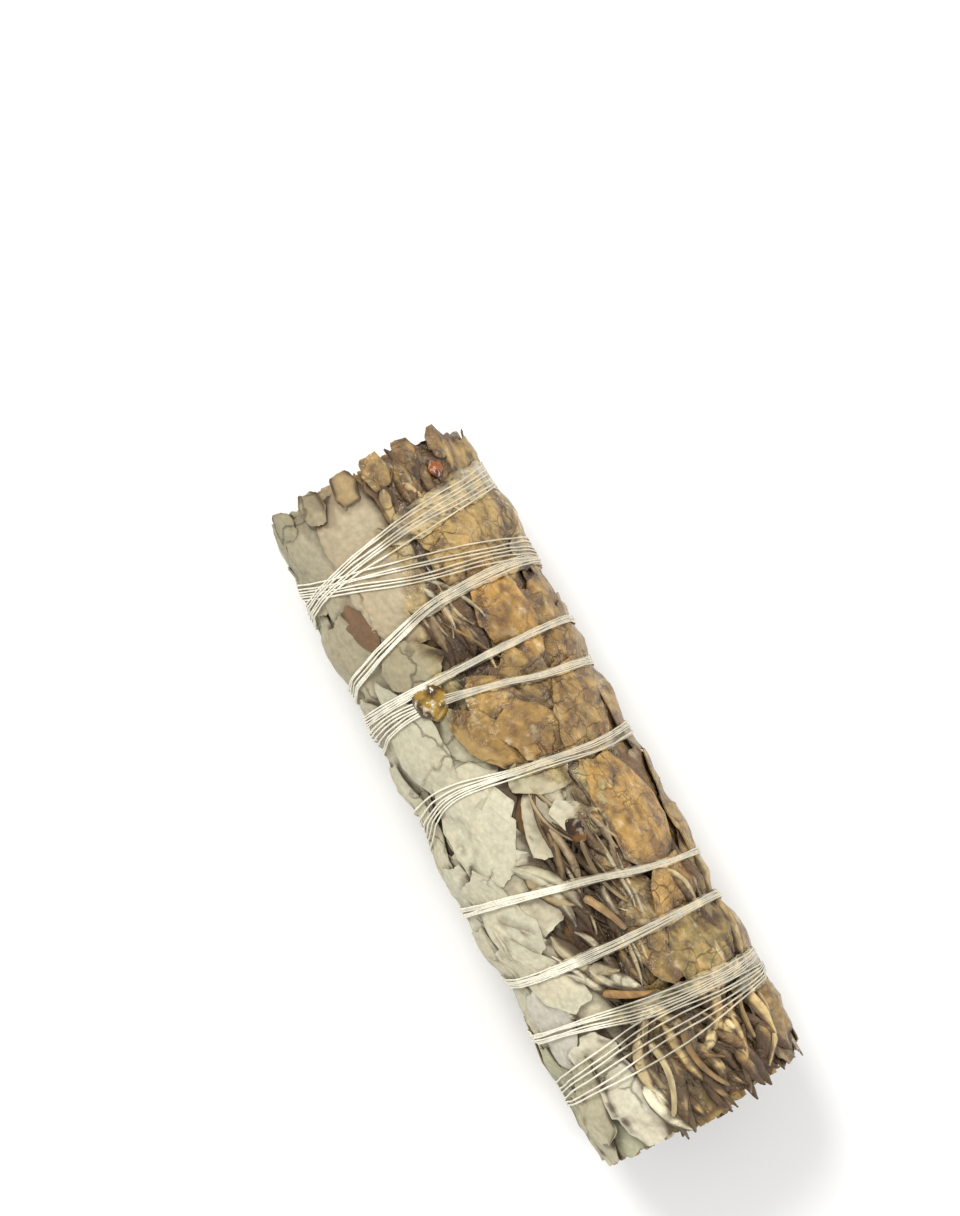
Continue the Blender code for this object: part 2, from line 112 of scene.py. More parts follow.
class Surface:
    """The radius and colour of what has been laid so far, in cells of about 0.3 mm each way."""

    cell = 0.3
    reach = 54.0
    around = 348

    def __init__(self):
        columns = int(2 * self.reach / self.cell) + 1
        turn = np.radians(np.arange(self.around) / self.around * 360.0)[:, None]
        x = (np.arange(columns) * self.cell - self.reach)[None, :]
        lumps = COARSE.fractal(x / 9.0 + 2 * np.cos(turn), 2 * np.sin(turn), 2)
        self.radius = CORE_RADIUS + 0.22 * lumps
        self.tint = np.zeros(self.radius.shape + (3,))

    def spot(self, x, angle):
        i = np.asarray(angle) % 360.0 / 360.0 * self.around
        j = np.clip((np.asarray(x) + self.reach) / self.cell, 0, self.radius.shape[1] - 1.01)
        return i, j

    def read(self, grid, x, angle):
        i, j = self.spot(x, angle)
        a, b = np.floor(i).astype(int), np.floor(j).astype(int)
        s, t = i - a, j - b
        a, c = a % self.around, (a + 1) % self.around
        return (grid[a, b] * (1 - s) + grid[c, b] * s) * (1 - t) + (
            grid[a, b + 1] * (1 - s) + grid[c, b + 1] * s
        ) * t

    def lay(self, x, angle, radius):
        i, j = self.spot(x, angle)
        for di in (0, 1):
            for dj in (0, 1):
                a = (np.floor(i).astype(int) + di) % self.around
                b = np.floor(j).astype(int) + dj
                np.maximum.at(self.radius, (a.ravel(), b.ravel()), radius.ravel())

    def paint(self, x, angle, radius, tints):
        """Keeps the colours of what lies on top."""
        i, j = self.spot(x, angle)
        a, b = np.round(i).astype(int) % self.around, np.round(j).astype(int)
        on_top = radius > self.radius[a, b] - 0.12
        self.tint[a[on_top], b[on_top]] = tints[on_top]

    def tint_at(self, x, angle):
        i, j = self.spot(x, angle)
        return self.tint[np.round(i).astype(int) % self.around, np.round(j).astype(int)]

    def draped(self, spread, blur):
        """The map as a stiff leaf feels it: its high points widened, then smoothed."""
        grid = self.radius.copy()
        for axis in (0, 1):
            wide = grid.copy()
            for shift in range(1, int(spread / self.cell) + 1):
                wide = np.maximum(wide, np.roll(grid, shift, axis))
                wide = np.maximum(wide, np.roll(grid, -shift, axis))
            grid = wide
        return self.smoothed(grid, blur)

    def smoothed(self, grid, blur):
        f = [np.fft.fftfreq(n) * TAU * blur / self.cell for n in grid.shape]
        kernel = np.exp(-(f[0][:, None] ** 2 + f[1][None, :] ** 2) / 2)
        return np.fft.ifft2(np.fft.fft2(grid) * kernel).real


SURFACE = Surface()

# === The cotton thread's route

# Each turn's x at these angles, from the pale side over the top to the resin side.
TURN_ANGLES = (-90.0, -35.0, 0.0, 35.0, 90.0)
TURNS = [
    (-36.6, -38.6, -40.0, -41.6, -43.0),
    (-41.4, -37.4, -34.6, -31.9, -30.0),
    (-23.6, -26.8, -29.0, -29.2, -28.6),
    (-20.0, -19.8, -19.6, -19.4, -19.0),
    (-16.2, -17.5, -15.8, -13.4, -12.6),
    (-2.9, -5.1, -3.2, -1.6, -1.8),
    (9.6, 11.6, 14.0, 16.8, 18.2),
    (21.4, 22.8, 23.6, 24.0, 24.8),
    (29.8, 31.2, 33.2, 34.2, 34.6),
    (38.9, 37.9, 37.1, 36.9, 36.5),
]
# How wide the strands fan out at the same places.
FANS = [
    (2.6, 2.6, 3.6, 4.6, 3.6),
    (2.6, 2.6, 4.0, 4.2, 3.4),
    (2.6, 1.6, 1.4, 1.6, 1.6),
    (1.6, 1.2, 0.8, 0.8, 1.2),
    (4.0, 2.2, 1.0, 0.9, 1.2),
    (7.2, 2.4, 1.4, 1.5, 1.8),
    (1.6, 1.1, 0.9, 0.8, 1.0),
    (1.6, 1.2, 1.3, 1.0, 1.2),
    (1.8, 1.6, 2.8, 2.4, 1.8),
    (4.4, 5.0, 6.4, 3.8, 1.3),
]
STRANDS = 6
STRAND_RADIUS = 0.125


def smooth_through(knots, values, spots):
    """A smooth curve through the values, with slopes taken from each value's neighbours."""
    knots, values = np.asarray(knots, float), np.asarray(values, float)
    slopes = np.gradient(values, knots)
    found = np.clip(np.searchsorted(knots, spots, side="right") - 1, 0, len(knots) - 2)
    span = knots[found + 1] - knots[found]
    t = (spots - knots[found]) / span
    return (
        values[found] * (2 * t**3 - 3 * t**2 + 1)
        + values[found + 1] * (3 * t**2 - 2 * t**3)
        + slopes[found] * span * (t**3 - 2 * t**2 + t)
        + slopes[found + 1] * span * (t**3 - t**2)
    )


KNOTS = np.array([angle + 360.0 * k for k in range(len(TURNS)) for angle in TURN_ANGLES])
ROUTE_ANGLES = np.arange(KNOTS[0], KNOTS[-1] + 0.5, 1.0)
ROUTE = smooth_through(KNOTS, [value for turn in TURNS for value in turn], ROUTE_ANGLES)
FAN = np.maximum(smooth_through(KNOTS, [v for fan in FANS for v in fan], ROUTE_ANGLES), 0.6)


def pinch(x, angle):
    """How far the thread draws the bundle in at each place."""
    x = np.asarray(x, float)
    start = (np.asarray(angle) + 90.0) % 360.0 - 90.0
    depth = np.zeros(np.broadcast(x, start).shape)
    for turn in range(len(TURNS)):
        total = start + 360.0 * turn
        inside = total <= KNOTS[-1] + 85.0
        middle = np.interp(total, ROUTE_ANGLES, ROUTE)
        fan = np.interp(total, ROUTE_ANGLES, FAN)
        away = np.maximum(np.abs(x - middle) - fan * 0.35, 0.0)
        depth = np.maximum(depth, np.where(inside, np.exp(-((away / 1.9) ** 2) / 2), 0.0))
    return depth * (0.75 + 0.25 * COARSE(x / 4.0 + 50, start / 20.0))


# === Colour

PALE = (206, 199, 173)
BEIGE = (192, 175, 145)
GREY_GREEN = (184, 182, 152)
GOLD = (178, 144, 90)
BROWN = (146, 112, 66)
OLIVE = (150, 132, 80)
# The dark brown of painted shade in crevices and creases.
SHADE_BROWN = (70, 52, 34)
# What dry matt leaf, its warmer patches and resin each do to a leaf's own colour.
PALE_SHADE = np.array((0.865, 0.88, 0.87))
WARM_SHADE = np.array((0.94, 0.86, 0.76))
RESIN_SHADE = np.array((0.80, 0.72, 0.48))


def linear(colour):
    return (np.asarray(colour, float) / 255.0) ** 2.2


def rgba(*colour):
    return (*linear(colour), 1.0)


def mixed(a, b, share):
    share = np.clip(share, 0, 1)[..., None]
    return a * (1 - share) + b * share


def ramp(value, start, span):
    """0 up to start, then rising straight to 1 over the span."""
    return np.clip((value - start) / span, 0, 1)


# Where the resin's edge runs along the bundle, as x and the angle around.
RESIN_EDGE_X = (-50, -44, -38, -33, -26, -21, -18, -14, -10, -4, 2, 8, 14, 22, 30, 38, 44, 50)
RESIN_EDGE = (-4, -3, -8, -10, -15, -18, -27, -22, -12, -5, 15, 8, -12, -17, -17, -19, -16, -20)


def resin_share(x, angle):
    """How much resin there is at a place, from 0 to 1."""
    start = (np.asarray(angle) + 180.0) % 360.0 - 180.0
    edge = np.interp(x, RESIN_EDGE_X, RESIN_EDGE)
    wander = 5.0 * COARSE.fractal(np.asarray(x) / 3.0, start / 9.0)
    near = (start - edge + wander) / 5.0
    far = (128.0 - start + 3 * wander + 10 * COARSE(np.asarray(x) / 9.0, 3.3)) / 10.0
    return np.clip(np.minimum(near, far) + 0.5, 0, 1)


# === Leaves

Leaf = namedtuple("Leaf", "x angle length width heading shape tint curl crown tip wave thick bend")


def angle_at(y):
    """The angle around of a place on the upper side that is y from the middle."""
    return math.degrees(math.asin(max(-0.995, min(0.995, y / LEAF_RADIUS))))


def leaf(x, y, length, width, heading, tint, shape="plate", **more):
    """A leaf on the upper side, placed by x and y."""
    return at_angle(x, angle_at(y), length, width, heading, shape, tint, **more)


def at_angle(x, angle, length, width, heading, shape, tint, **more):
    kept = {"curl": 0.16, "crown": 0.06, "tip": 0.1, "wave": 0.3, "thick": 0.26, "bend": 0.0}
    kept.update(more)
    return Leaf(x, angle, length, width, heading, shape, tint, **kept)


# Each outline's share of the full width at its foot and tip, and how much it narrows towards them.
OUTLINES = {
    "lance": (0.35, 0.02, 0.8),
    "oval": (0.4, 0.35, 0.48),
    "plate": (0.6, 0.5, 0.25),
    "cut": (0.9, 0.35, 0.3),
}


def outline(shape, s, seed):
    """A leaf's half width along its length, as a share of its widest: straight between corners."""
    if shape == "strip":
        return np.clip(s / 0.22, 0, 1) ** 0.6 * np.clip((1 - s) / 0.3, 0, 1) ** 0.6
    draw = np.random.default_rng(int(seed * 1000) + 5)
    corners = np.concatenate([[0], np.sort(draw.uniform(0.08, 0.92, 5)), [1]])
    foot, tip, slim = OUTLINES[shape]
    arch = np.sin(math.pi * np.clip(0.06 + 0.88 * corners, 0, 1)) ** slim
    sizes = arch * draw.uniform(0.82, 1.08, 7)
    sizes[0], sizes[-1] = foot * draw.uniform(0.5, 1.3), tip * draw.uniform(0.5, 1.4)
    return np.interp(s, corners, sizes)


class Sheet:
    """A leaf's two faces as grids of x, angle and radius, with what its colour needs."""

    def __init__(self, spec, step, seed):
        self.spec = spec
        rows = max(7, round(spec.length / step)) + 1
        columns = max(6, round(spec.width / step)) + 1
        s = np.linspace(0, 1, rows)[:, None]
        t = np.linspace(-1, 1, columns)[None, :]
        t = np.sign(t) * np.abs(t) ** 0.85
        side = np.where(t < 0, 3.7, 9.1) + seed * 1.37
        strip = spec.shape == "strip"
        halves = [outline(spec.shape, s, seed + k * 0.5) for k in (0, 1)]
        half = spec.width / 2 * np.maximum(np.where(t < 0, *halves), 0.04)
        ragged = 0.16 * EDGE.fractal(s * spec.length / 1.3 + side, side, 3)
        half = np.maximum(half + ragged * (0.4 if strip else 1.0), 0.12)
        across = t * half
        along = (s - 0.5) * spec.length
        end = ramp(np.abs(s - 0.5), 0.36, 0.14)
        torn = 0.3 if strip else 0.9
        notches = EDGE.fractal(across / 2.2 + seed, np.sign(s - 0.5) + seed * 0.7, 4)
        along = along + end * torn * notches
        turn = np.radians(spec.heading + spec.bend * (s - 0.5))
        dx, dw = np.cos(turn), np.sin(turn)
        spine_x = np.cumsum(dx, axis=0) * spec.length / rows
        spine_w = np.cumsum(dw, axis=0) * spec.length / rows
        spine_x, spine_w = spine_x - spine_x[rows // 2], spine_w - spine_w[rows // 2]
        extra = along - (s - 0.5) * spec.length
        self.x = spec.x + spine_x - across * np.sin(turn) + extra * np.cos(turn)
        arc = spine_w + across * np.cos(turn) + extra * np.sin(turn)
        self.angle = spec.angle + arc / DEGREE
        self.s, self.t = np.broadcast_arrays(s, t)
        self.across, self.along = np.broadcast_arrays(across, along)
        self.seed = seed
        self.lay()

    def relief(self):
        """The height of the leaf's own shape over what it lies on."""
        spec, s, t = self.spec, self.s, self.t
        x, w = self.x, self.angle * DEGREE
        curled = 0.5 + 0.5 * EDGE(s * spec.length / 4.0 + 5 * self.seed, np.sign(t) * 2.0 + self.seed)
        full = np.clip(6 * s * (1 - s), 0.0, 1)
        shape = spec.crown * (1 - t**2) * full + 1.3 * spec.curl * np.abs(t) ** 6 * curled
        shape = shape + spec.tip * ramp(s, 0.6, 0.4) ** 3
        far = self.seed * 7.3
        folds = np.abs(COARSE(x / 6.0 + far + w / 9.0, w / 4.2 + far))
        small = np.abs(FINE(x / 2.1 + far, w / 1.5 - x / 5.0))
        shape = shape + spec.wave * (0.7 * folds + 0.4 * small)
        if spec.shape != "strip":
            rib = np.exp(-((self.across / 0.35) ** 2)) * (1 - 0.7 * s)
            slant = self.along - 0.75 * np.abs(self.across)
            veins = np.cos(slant * TAU / 2.2) * (1 - np.exp(-np.abs(self.across)))
            return shape + 0.10 * rib + 0.02 * veins
        return shape + 0.05 * np.cos(self.across * TAU / 0.6)

    def lay(self):
        strip = self.spec.shape == "strip"
        base = SURFACE.draped(0.0, 0.7) - 0.1 if strip else SURFACE.draped(0.3, 0.9)
        held = np.clip(self.x, -HELD_END, HELD_END)
        touching = SURFACE.read(SURFACE.radius, held, self.angle) - (0.5 if strip else 0.04)
        low = np.maximum(SURFACE.read(base, held, self.angle), touching)
        low = np.where(low > PRESSED_RADIUS, PRESSED_RADIUS + 0.4 * (low - PRESSED_RADIUS), low)
        thick = self.spec.thick * (0.7 + 0.3 * (1 - np.abs(self.t) ** 6))
        self.inner = low + 0.05 + np.maximum(self.relief(), -0.02)
        self.outer = self.inner + thick
        SURFACE.lay(self.x, self.angle, self.outer)


def paint_sheet(sheet):
    """Colour, with painted shade in crevices and creases and a painted sheen on the resin, and gloss
    for each point of a leaf's outer face, and its inner face's colour.
    """
    x, angle, w = sheet.x, sheet.angle, sheet.angle * DEGREE
    strip = sheet.spec.shape == "strip"
    resin = resin_share(x, angle)
    colour = np.broadcast_to(linear(sheet.spec.tint), x.shape + (3,))
    blotch = COARSE.fractal(x / 4.0 + sheet.seed, w / 3.0, 3)
    fine = MIDDLE.fractal(x / 1.1, w / 0.9 + sheet.seed, 2)
    patchy = (0.05 + 0.13 * resin) * blotch + (0.04 + 0.08 * resin) * fine
    colour = colour * (1 + patchy)[..., None]
    warm = np.clip(0.5 + MIDDLE.fractal(x / 6.0 + 3 * sheet.seed, w / 4.0, 2), 0, 1) * (1 - resin)
    colour = mixed(colour * PALE_SHADE, colour * WARM_SHADE, 0.4 * warm)
    colour = colour * (1 - 0.12 * (1 - resin) * np.clip(-x / 30, 0, 1))[..., None]
    if strip:
        streak = EDGE.fractal(sheet.s * 2.2 + sheet.seed, sheet.across * 2.6 + sheet.seed, 3)
        paler_end = 1 + 0.5 * ramp(x, 33, 6)
        colour = colour * ((1 + 0.35 * streak) * paler_end)[..., None]
    else:
        ribs = np.exp(-((sheet.across / 0.35) ** 2)) * (1 - sheet.s)
        colour = mixed(colour, colour * 1.15, 0.5 * ribs)
    soaked = resin * (0.25 if strip else 1.0)
    colour = mixed(colour, colour * RESIN_SHADE, soaked)
    stain = MIDDLE.fractal(x / 1.9 + 40, w / 1.2, 4)
    dark = (0.35 * resin + 0.65 * soaked) * ramp(stain, 0.04, 0.3)
    colour = mixed(colour, linear((88, 60, 36)), 0.68 * dark)
    # Painted shade: thin dark lines for the shade in crease valleys, strongest on the resin side.
    crease_shade = np.exp(-((COARSE(x / 2.6 + w / 7.0, w / 1.9 - x / 9.0) / 0.07) ** 2))
    crease_shade = crease_shade * np.clip(MIDDLE(x / 3.0 + 9, w / 3.0) + 0.35, 0, 1)
    colour = mixed(colour, linear(SHADE_BROWN), (0.12 + 0.55 * resin) * crease_shade)
    gold = resin * ramp(-stain, 0.26, 0.3)
    colour = mixed(colour, linear((186, 150, 90)), 0.5 * gold)
    # Painted sheen: soft whitish patches on the resin.
    whitish_sheen = resin * ramp(FINE.fractal(x / 1.9 + 9, w / 0.8 + 70, 3), 0.40, 0.25)
    colour = mixed(colour, linear((206, 190, 150)), 0.45 * whitish_sheen)
    rim = ramp(np.abs(sheet.t), 0.9, 0.1)
    colour = colour * (1 - 0.14 * rim)[..., None]
    # Painted shade: darker where the leaves nearby stand higher, as in crevices and under lifted leaf
    # edges.
    held = np.clip(x, -HELD_END, HELD_END)
    close = SURFACE.read(NEAR_SHADE_MAP, held, angle) - sheet.outer
    wide = SURFACE.read(BROAD_SHADE_MAP, held, angle) - sheet.outer
    at_edge = 1.0 if strip else 0.35 + 0.65 * ramp(np.abs(sheet.t), 0.6, 0.2)
    crevice_shade = ramp(close, 0.13, 0.16) * 0.9 * at_edge
    crevice_shade = crevice_shade + ramp(wide, 0.4, 1.1) * (0.08 + (0.28 if strip else 0.45) * resin)
    colour = mixed(colour, linear(SHADE_BROWN), np.clip(crevice_shade, 0, 0.92))
    gloss = (0.5 * resin + 0.5 * soaked) * (0.72 + 0.28 * np.clip(1.2 * blotch + 0.4, 0, 1))
    underside = mixed(colour, linear((120, 96, 66)), np.full(x.shape, 0.6))
    SURFACE.paint(x, angle, sheet.outer, colour)
    return colour, gloss, underside


# === Meshes


def world(x, angle, radius):
    """World positions in metres of places on the bundle, pressed flat where they meet the floor."""
    x, angle, radius = np.broadcast_arrays(x, angle, radius)
    turn = np.radians(angle)
    radius = radius * (1 + TAPER * x / HALF_LENGTH)
    y = AXIS_Y + radius * np.sin(turn)
    z = AXIS_Z + radius * np.cos(turn)
    room = FLAT_BELOW - FLOOR_GAP
    z = np.where(z < FLAT_BELOW, FLOOR_GAP + room * np.exp((z - FLAT_BELOW) / room), z)
    return np.stack([x, y, z], axis=-1) * MM


def link(obj):
    bpy.context.scene.collection.objects.link(obj)


def circle(sides):
    return np.linspace(0, TAU, sides, endpoint=False)


class Builder:
    """Collects one piece's points, faces, colours and gloss."""

    def __init__(self):
        self.parts, self.count = [], 0

    def add(self, points, faces, tints, gloss):
        self.parts.append((points, faces + self.count, tints, gloss))
        self.count += len(points)

    def add_slab(self, outer, inner, tint_outer, tint_inner, gloss):
        """A thin sheet between two grids of points, closed round its rim."""
        rows, columns = outer.shape[:2]
        index = np.arange(rows * columns).reshape(rows, columns)
        a, b = index[:-1, :-1].ravel(), index[:-1, 1:].ravel()
        c, d = index[1:, 1:].ravel(), index[1:, :-1].ravel()
        size = rows * columns
        faces = [np.stack([a, b, c, d], 1), np.stack([d, c, b, a], 1) + size]
        rim = np.concatenate([index[0, :-1], index[:-1, -1], index[-1, :0:-1], index[:0:-1, 0]])
        after = np.roll(rim, -1)
        faces.append(np.stack([after, rim, rim + size, after + size], 1))
        tints = np.concatenate([tint_outer.reshape(-1, 3), tint_inner.reshape(-1, 3)])
        gloss = np.concatenate([gloss.ravel(), 0.3 * gloss.ravel()])
        points = np.concatenate([outer.reshape(-1, 3), inner.reshape(-1, 3)])
        self.add(points, np.concatenate(faces), tints, gloss)

    def add_tube(self, centres, rings, tints, gloss):
        """A tube from rings of points round each centre, with its two ends closed to a point."""
        count, sides = rings.shape[:2]
        index = np.arange(count * sides).reshape(count, sides)
        a, b = index[:-1], index[1:]
        faces = np.stack([a, np.roll(a, -1, 1), np.roll(b, -1, 1), b], -1).reshape(-1, 4)
        first = np.full(sides, count * sides)
        last = first + 1
        start = np.stack([np.roll(index[0], -1), index[0], first, first], 1)
        stop = np.stack([index[-1], np.roll(index[-1], -1), last, last], 1)
        points = np.concatenate([rings.reshape(-1, 3), centres[:1], centres[-1:]])
        tints = np.concatenate([tints.reshape(-1, 3), tints.reshape(-1, 3)[[0, -1]]])
        gloss = np.concatenate([np.broadcast_to(gloss, (count, sides)).ravel(), np.zeros(2)])
        self.add(points, np.concatenate([faces, start, stop]), tints, gloss)

    def finish(self, name, material, node, sharp=55.0):
        mesh = bpy.data.meshes.new(name)
        points, faces, tints, gloss = (np.concatenate(part) for part in zip(*self.parts))
        # A triangle comes as four corners with its last one twice.
        faces = [face[:3] if face[2] == face[3] else face for face in faces.tolist()]
        mesh.from_pydata(points.tolist(), [], faces)
        tints = np.concatenate([np.clip(tints, 0, 1), np.ones((len(tints), 1))], 1)
        layer = mesh.attributes.new("tint", "FLOAT_COLOR", "POINT")
        layer.data.foreach_set("color", tints.astype(np.float32).ravel())
        layer = mesh.attributes.new("gloss", "FLOAT", "POINT")
        layer.data.foreach_set("value", gloss.astype(np.float32))
        mesh.polygons.foreach_set("use_smooth", np.ones(len(mesh.polygons), bool))
        mesh.set_sharp_from_angle(angle=math.radians(sharp))
        mesh.materials.append(material)
        obj = bpy.data.objects.new(name, mesh)
        link(obj)
        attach(obj, "root")
        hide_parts(node)


# === Materials


class Nodes:
    """A short way to write a material's nodes."""

    def __init__(self, name):
        self.material = bpy.data.materials.new(name)
        self.material.use_nodes = True
        self.tree = self.material.node_tree
        self.shader = self.tree.nodes["Principled BSDF"]

    def new(self, kind, inputs=None, **settings):
        node = self.tree.nodes.new("ShaderNode" + kind)
        for key, value in settings.items():
            setattr(node, key, value)
        for key, value in (inputs or {}).items():
            self.put(node.inputs[key], value)
        return node

    def put(self, socket, value):
        if hasattr(value, "is_output"):
            self.tree.links.new(value, socket)
        else:
            socket.default_value = value

    def attribute(self, name, output="Fac"):
        return self.new("Attribute", attribute_name=name).outputs[output]

    def noise(self, scale, detail=3.0, stretch=None):
        place = self.new("TexCoord").outputs["Object"]
        if stretch:
            place = self.new("Mapping", {"Vector": place, "Scale": stretch}).outputs["Vector"]
        return self.new("TexNoise", {"Vector": place, "Scale": scale, "Detail": detail}).outputs["Fac"]

    def math(self, operation, a, b):
        return self.new("Math", {0: a, 1: b}, operation=operation).outputs[0]

    def times(self, a, b):
        return self.math("MULTIPLY", a, b)

    def range(self, value, low, high, to_low, to_high):
        limits = {"From Min": low, "From Max": high, "To Min": to_low, "To Max": to_high}
        return self.new("MapRange", {"Value": value, **limits}).outputs["Result"]

    def mix(self, factor, a, b, blend="MIX"):
        node = self.new("Mix", data_type="RGBA", blend_type=blend)
        self.put(node.inputs["Factor"], factor)
        self.put(node.inputs["A"], a)
        self.put(node.inputs["B"], b)
        return node.outputs["Result"]

    def shaded(self, colour, shade):
        """The colour made darker or lighter by a factor."""
        factors = self.new("CombineColor", {"Red": shade, "Green": shade, "Blue": shade})
        return self.mix(1.0, colour, factors.outputs[0], "MULTIPLY")

    def seams(self, place, scale, width):
        """Thin lines between cells, from 1 on a line to 0 at its width away."""
        inputs = {"Vector": place, "Scale": scale}
        cells = self.new("TexVoronoi", inputs, feature="DISTANCE_TO_EDGE").outputs["Distance"]
        return self.range(cells, 0.0, width, 1.0, 0.0)

    def vector(self, operation, inputs):
        return self.new("VectorMath", inputs, operation=operation).outputs[0]

    def bump(self, height, strength, distance, below=None):
        inputs = {"Height": height, "Strength": strength, "Distance": distance}
        if below is not None:
            inputs["Normal"] = below
        return self.new("Bump", inputs).outputs["Normal"]

    def set(self, **values):
        for key, value in values.items():
            self.put(self.shader.inputs[key.replace("_", " ")], value)
        return self.material


def leaf_material():
    n = Nodes("dried_leaf")
    place = n.new("TexCoord").outputs["Object"]
    gloss = n.attribute("gloss")
    inputs = {"Vector": place, "Scale": 1500.0}
    pebbles = n.new("TexVoronoi", inputs, feature="SMOOTH_F1").outputs["Distance"]
    grain = n.noise(1100.0, 4.0)
    drift = n.new("TexNoise", {"Vector": place, "Scale": 300.0, "Detail": 3.0}).outputs["Color"]
    drift = n.vector("SUBTRACT", {0: drift, 1: (0.5, 0.5, 0.5)})
    drifted = n.vector("ADD", {0: place, 1: n.vector("SCALE", {0: drift, "Scale": 0.004})})
    crazed = n.times(n.seams(drifted, 330.0, 0.05), n.range(n.noise(160.0, 2.0), 0.44, 0.56, 0.0, 1.0))
    split = n.times(n.seams(drifted, 120.0, 0.035), n.range(n.noise(90.0, 2.0), 0.50, 0.58, 0.0, 1.0))
    colour = n.attribute("tint", "Color")
    colour = n.shaded(colour, n.range(grain, 0.3, 0.7, 0.91, 1.08))
    colour = n.shaded(colour, n.range(pebbles, 0.25, 0.75, 1.03, 0.90))
    grime = n.range(n.noise(800.0, 5.0), 0.32, 0.68, 0.62, 1.26)
    gritty = n.times(gloss, n.range(n.noise(110.0, 2.0), 0.42, 0.58, 0.35, 1.0))
    grime = n.math("ADD", 1.0, n.times(gritty, n.math("SUBTRACT", grime, 1.0)))
    colour = n.shaded(colour, grime)
    crust = n.times(gritty, n.range(n.noise(1000.0, 4.0), 0.63, 0.72, 0.0, 0.32))
    colour = n.mix(crust, colour, rgba(206, 190, 148))
    colour = n.mix(n.times(n.times(crazed, gritty), 0.75), colour, rgba(58, 40, 26))
    colour = n.mix(n.times(split, 0.62), colour, rgba(74, 62, 44))
    spots = n.range(n.noise(3800.0, 2.0), 0.64, 0.74, 0.0, 0.25)
    colour = n.mix(spots, colour, rgba(96, 74, 48))
    wet = n.range(n.noise(700.0, 3.0), 0.35, 0.65, 0.10, 0.42)
    dry = n.times(n.math("SUBTRACT", 1.0, gloss), 0.86)
    rough = n.math("ADD", n.times(gloss, wet), dry)
    fine = n.bump(pebbles, 0.55, 0.00022)
    fine = n.bump(grain, 0.5, 0.0004, fine)
    fine = n.bump(n.times(n.noise(650.0, 5.0), gloss), 0.7, 0.0009, fine)
    torn = n.math("SUBTRACT", 1.0, n.math("MAXIMUM", split, n.times(crazed, gloss)))
    fine = n.bump(torn, 0.6, 0.0003, fine)
    return n.set(Base_Color=colour, Roughness=rough, Normal=fine, IOR=1.5)


def stem_material():
    n = Nodes("dried_stem")
    streak = n.noise(900.0, 4.0, (0.12, 1.0, 1.0))
    colour = n.shaded(n.attribute("tint", "Color"), n.range(streak, 0.3, 0.7, 0.55, 1.25))
    rough = n.range(n.attribute("gloss"), 0.0, 1.0, 0.78, 0.25)
    return n.set(Base_Color=colour, Roughness=rough, Normal=n.bump(streak, 0.6, 0.0003))


def cotton_material():
    n = Nodes("cotton_strands")
    fluff = n.noise(2600.0, 3.0)
    colour = n.shaded(n.attribute("tint", "Color"), n.range(fluff, 0.3, 0.7, 0.86, 1.08))
    rough = n.range(n.attribute("gloss"), 0.0, 1.0, 0.85, 0.28)
    return n.set(Base_Color=colour, Roughness=rough, Normal=n.bump(fluff, 0.5, 0.0002))


def resin_material():
    n = Nodes("hardened_resin")
    cloud = n.noise(420.0, 4.0)
    colour = n.mix(n.range(cloud, 0.42, 0.58, 0.0, 1.0), rgba(70, 52, 18), rgba(150, 118, 48))
    colour = n.mix(1.0, colour, n.attribute("tint", "Color"), "MULTIPLY")
    crust = n.times(n.range(n.noise(760.0, 5.0), 0.53, 0.64, 0.0, 0.8), n.attribute("gloss"))
    colour = n.mix(crust, colour, rgba(228, 220, 196))
    rough = n.range(cloud, 0.3, 0.7, 0.06, 0.2)
    return n.set(Base_Color=colour, Roughness=rough, Normal=n.bump(n.noise(500.0, 2.0), 0.4, 0.0008))


LEAF_MATERIAL = leaf_material()
STEM_MATERIAL = stem_material()
COTTON_MATERIAL = cotton_material()
RESIN_MATERIAL = resin_material()

# === The leaves, from the innermost out


def zone_tint(angle):
    """A leaf colour for a place round the bundle, with some variety."""
    start = (angle + 180.0) % 360.0 - 180.0
    if -100 < start < -12:
        choices = (PALE, PALE, BEIGE, GREY_GREEN, (196, 188, 160))
    elif -12 <= start < 110:
        choices = (GOLD, BROWN, OLIVE, (172, 142, 92), (128, 98, 60))
    else:
        choices = (GREY_GREEN, BEIGE, (168, 160, 124), (152, 140, 98), PALE)
    return choices[RNG.integers(len(choices))]


UNDER = [
    at_angle(*place, "cut", tint, curl=0.1, wave=0.2)
    for *place, tint in (
        (-21.0, 3, 57, 23, 0, (132, 104, 68)),
        (-23.0, 78, 54, 22, 0, BROWN),
        (-20.0, 147, 57, 23, 0, OLIVE),
        (-23.5, 218, 52, 22, 0, GREY_GREEN),
        (-21.0, 291, 56, 22, 0, GREY_GREEN),
        (22.0, 38, 55, 23, 180, BROWN),
        (23.0, 108, 52, 22, 180, OLIVE),
        (21.0, 180, 57, 23, 180, OLIVE),
        (23.5, 252, 51, 22, 180, GREY_GREEN),
        (22.0, 324, 54, 23, 180, BROWN),
    )
]

# The leaves laid for each CAD node, and the step of their grids in millimetres.
SHEETS = {}
UNDER_STEP, HIDDEN_STEP, FILL_STEP, PLACED_STEP, STRIP_STEP = 1.1, 0.9, 0.65, 0.37, 0.3


def lay(node, spec, step):
    """Drapes one more leaf over all that lies below it, as part of a CAD node's piece."""
    seed = sum(len(sheets) for sheets in SHEETS.values()) + 1
    SHEETS.setdefault(node, []).append(Sheet(spec, step, seed))


def node_place(node):
    low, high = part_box(node)
    return (Vector(low) + Vector(high)) / 2 / MM


PLACES = {node: node_place(node) for node in frame["nodes"]}


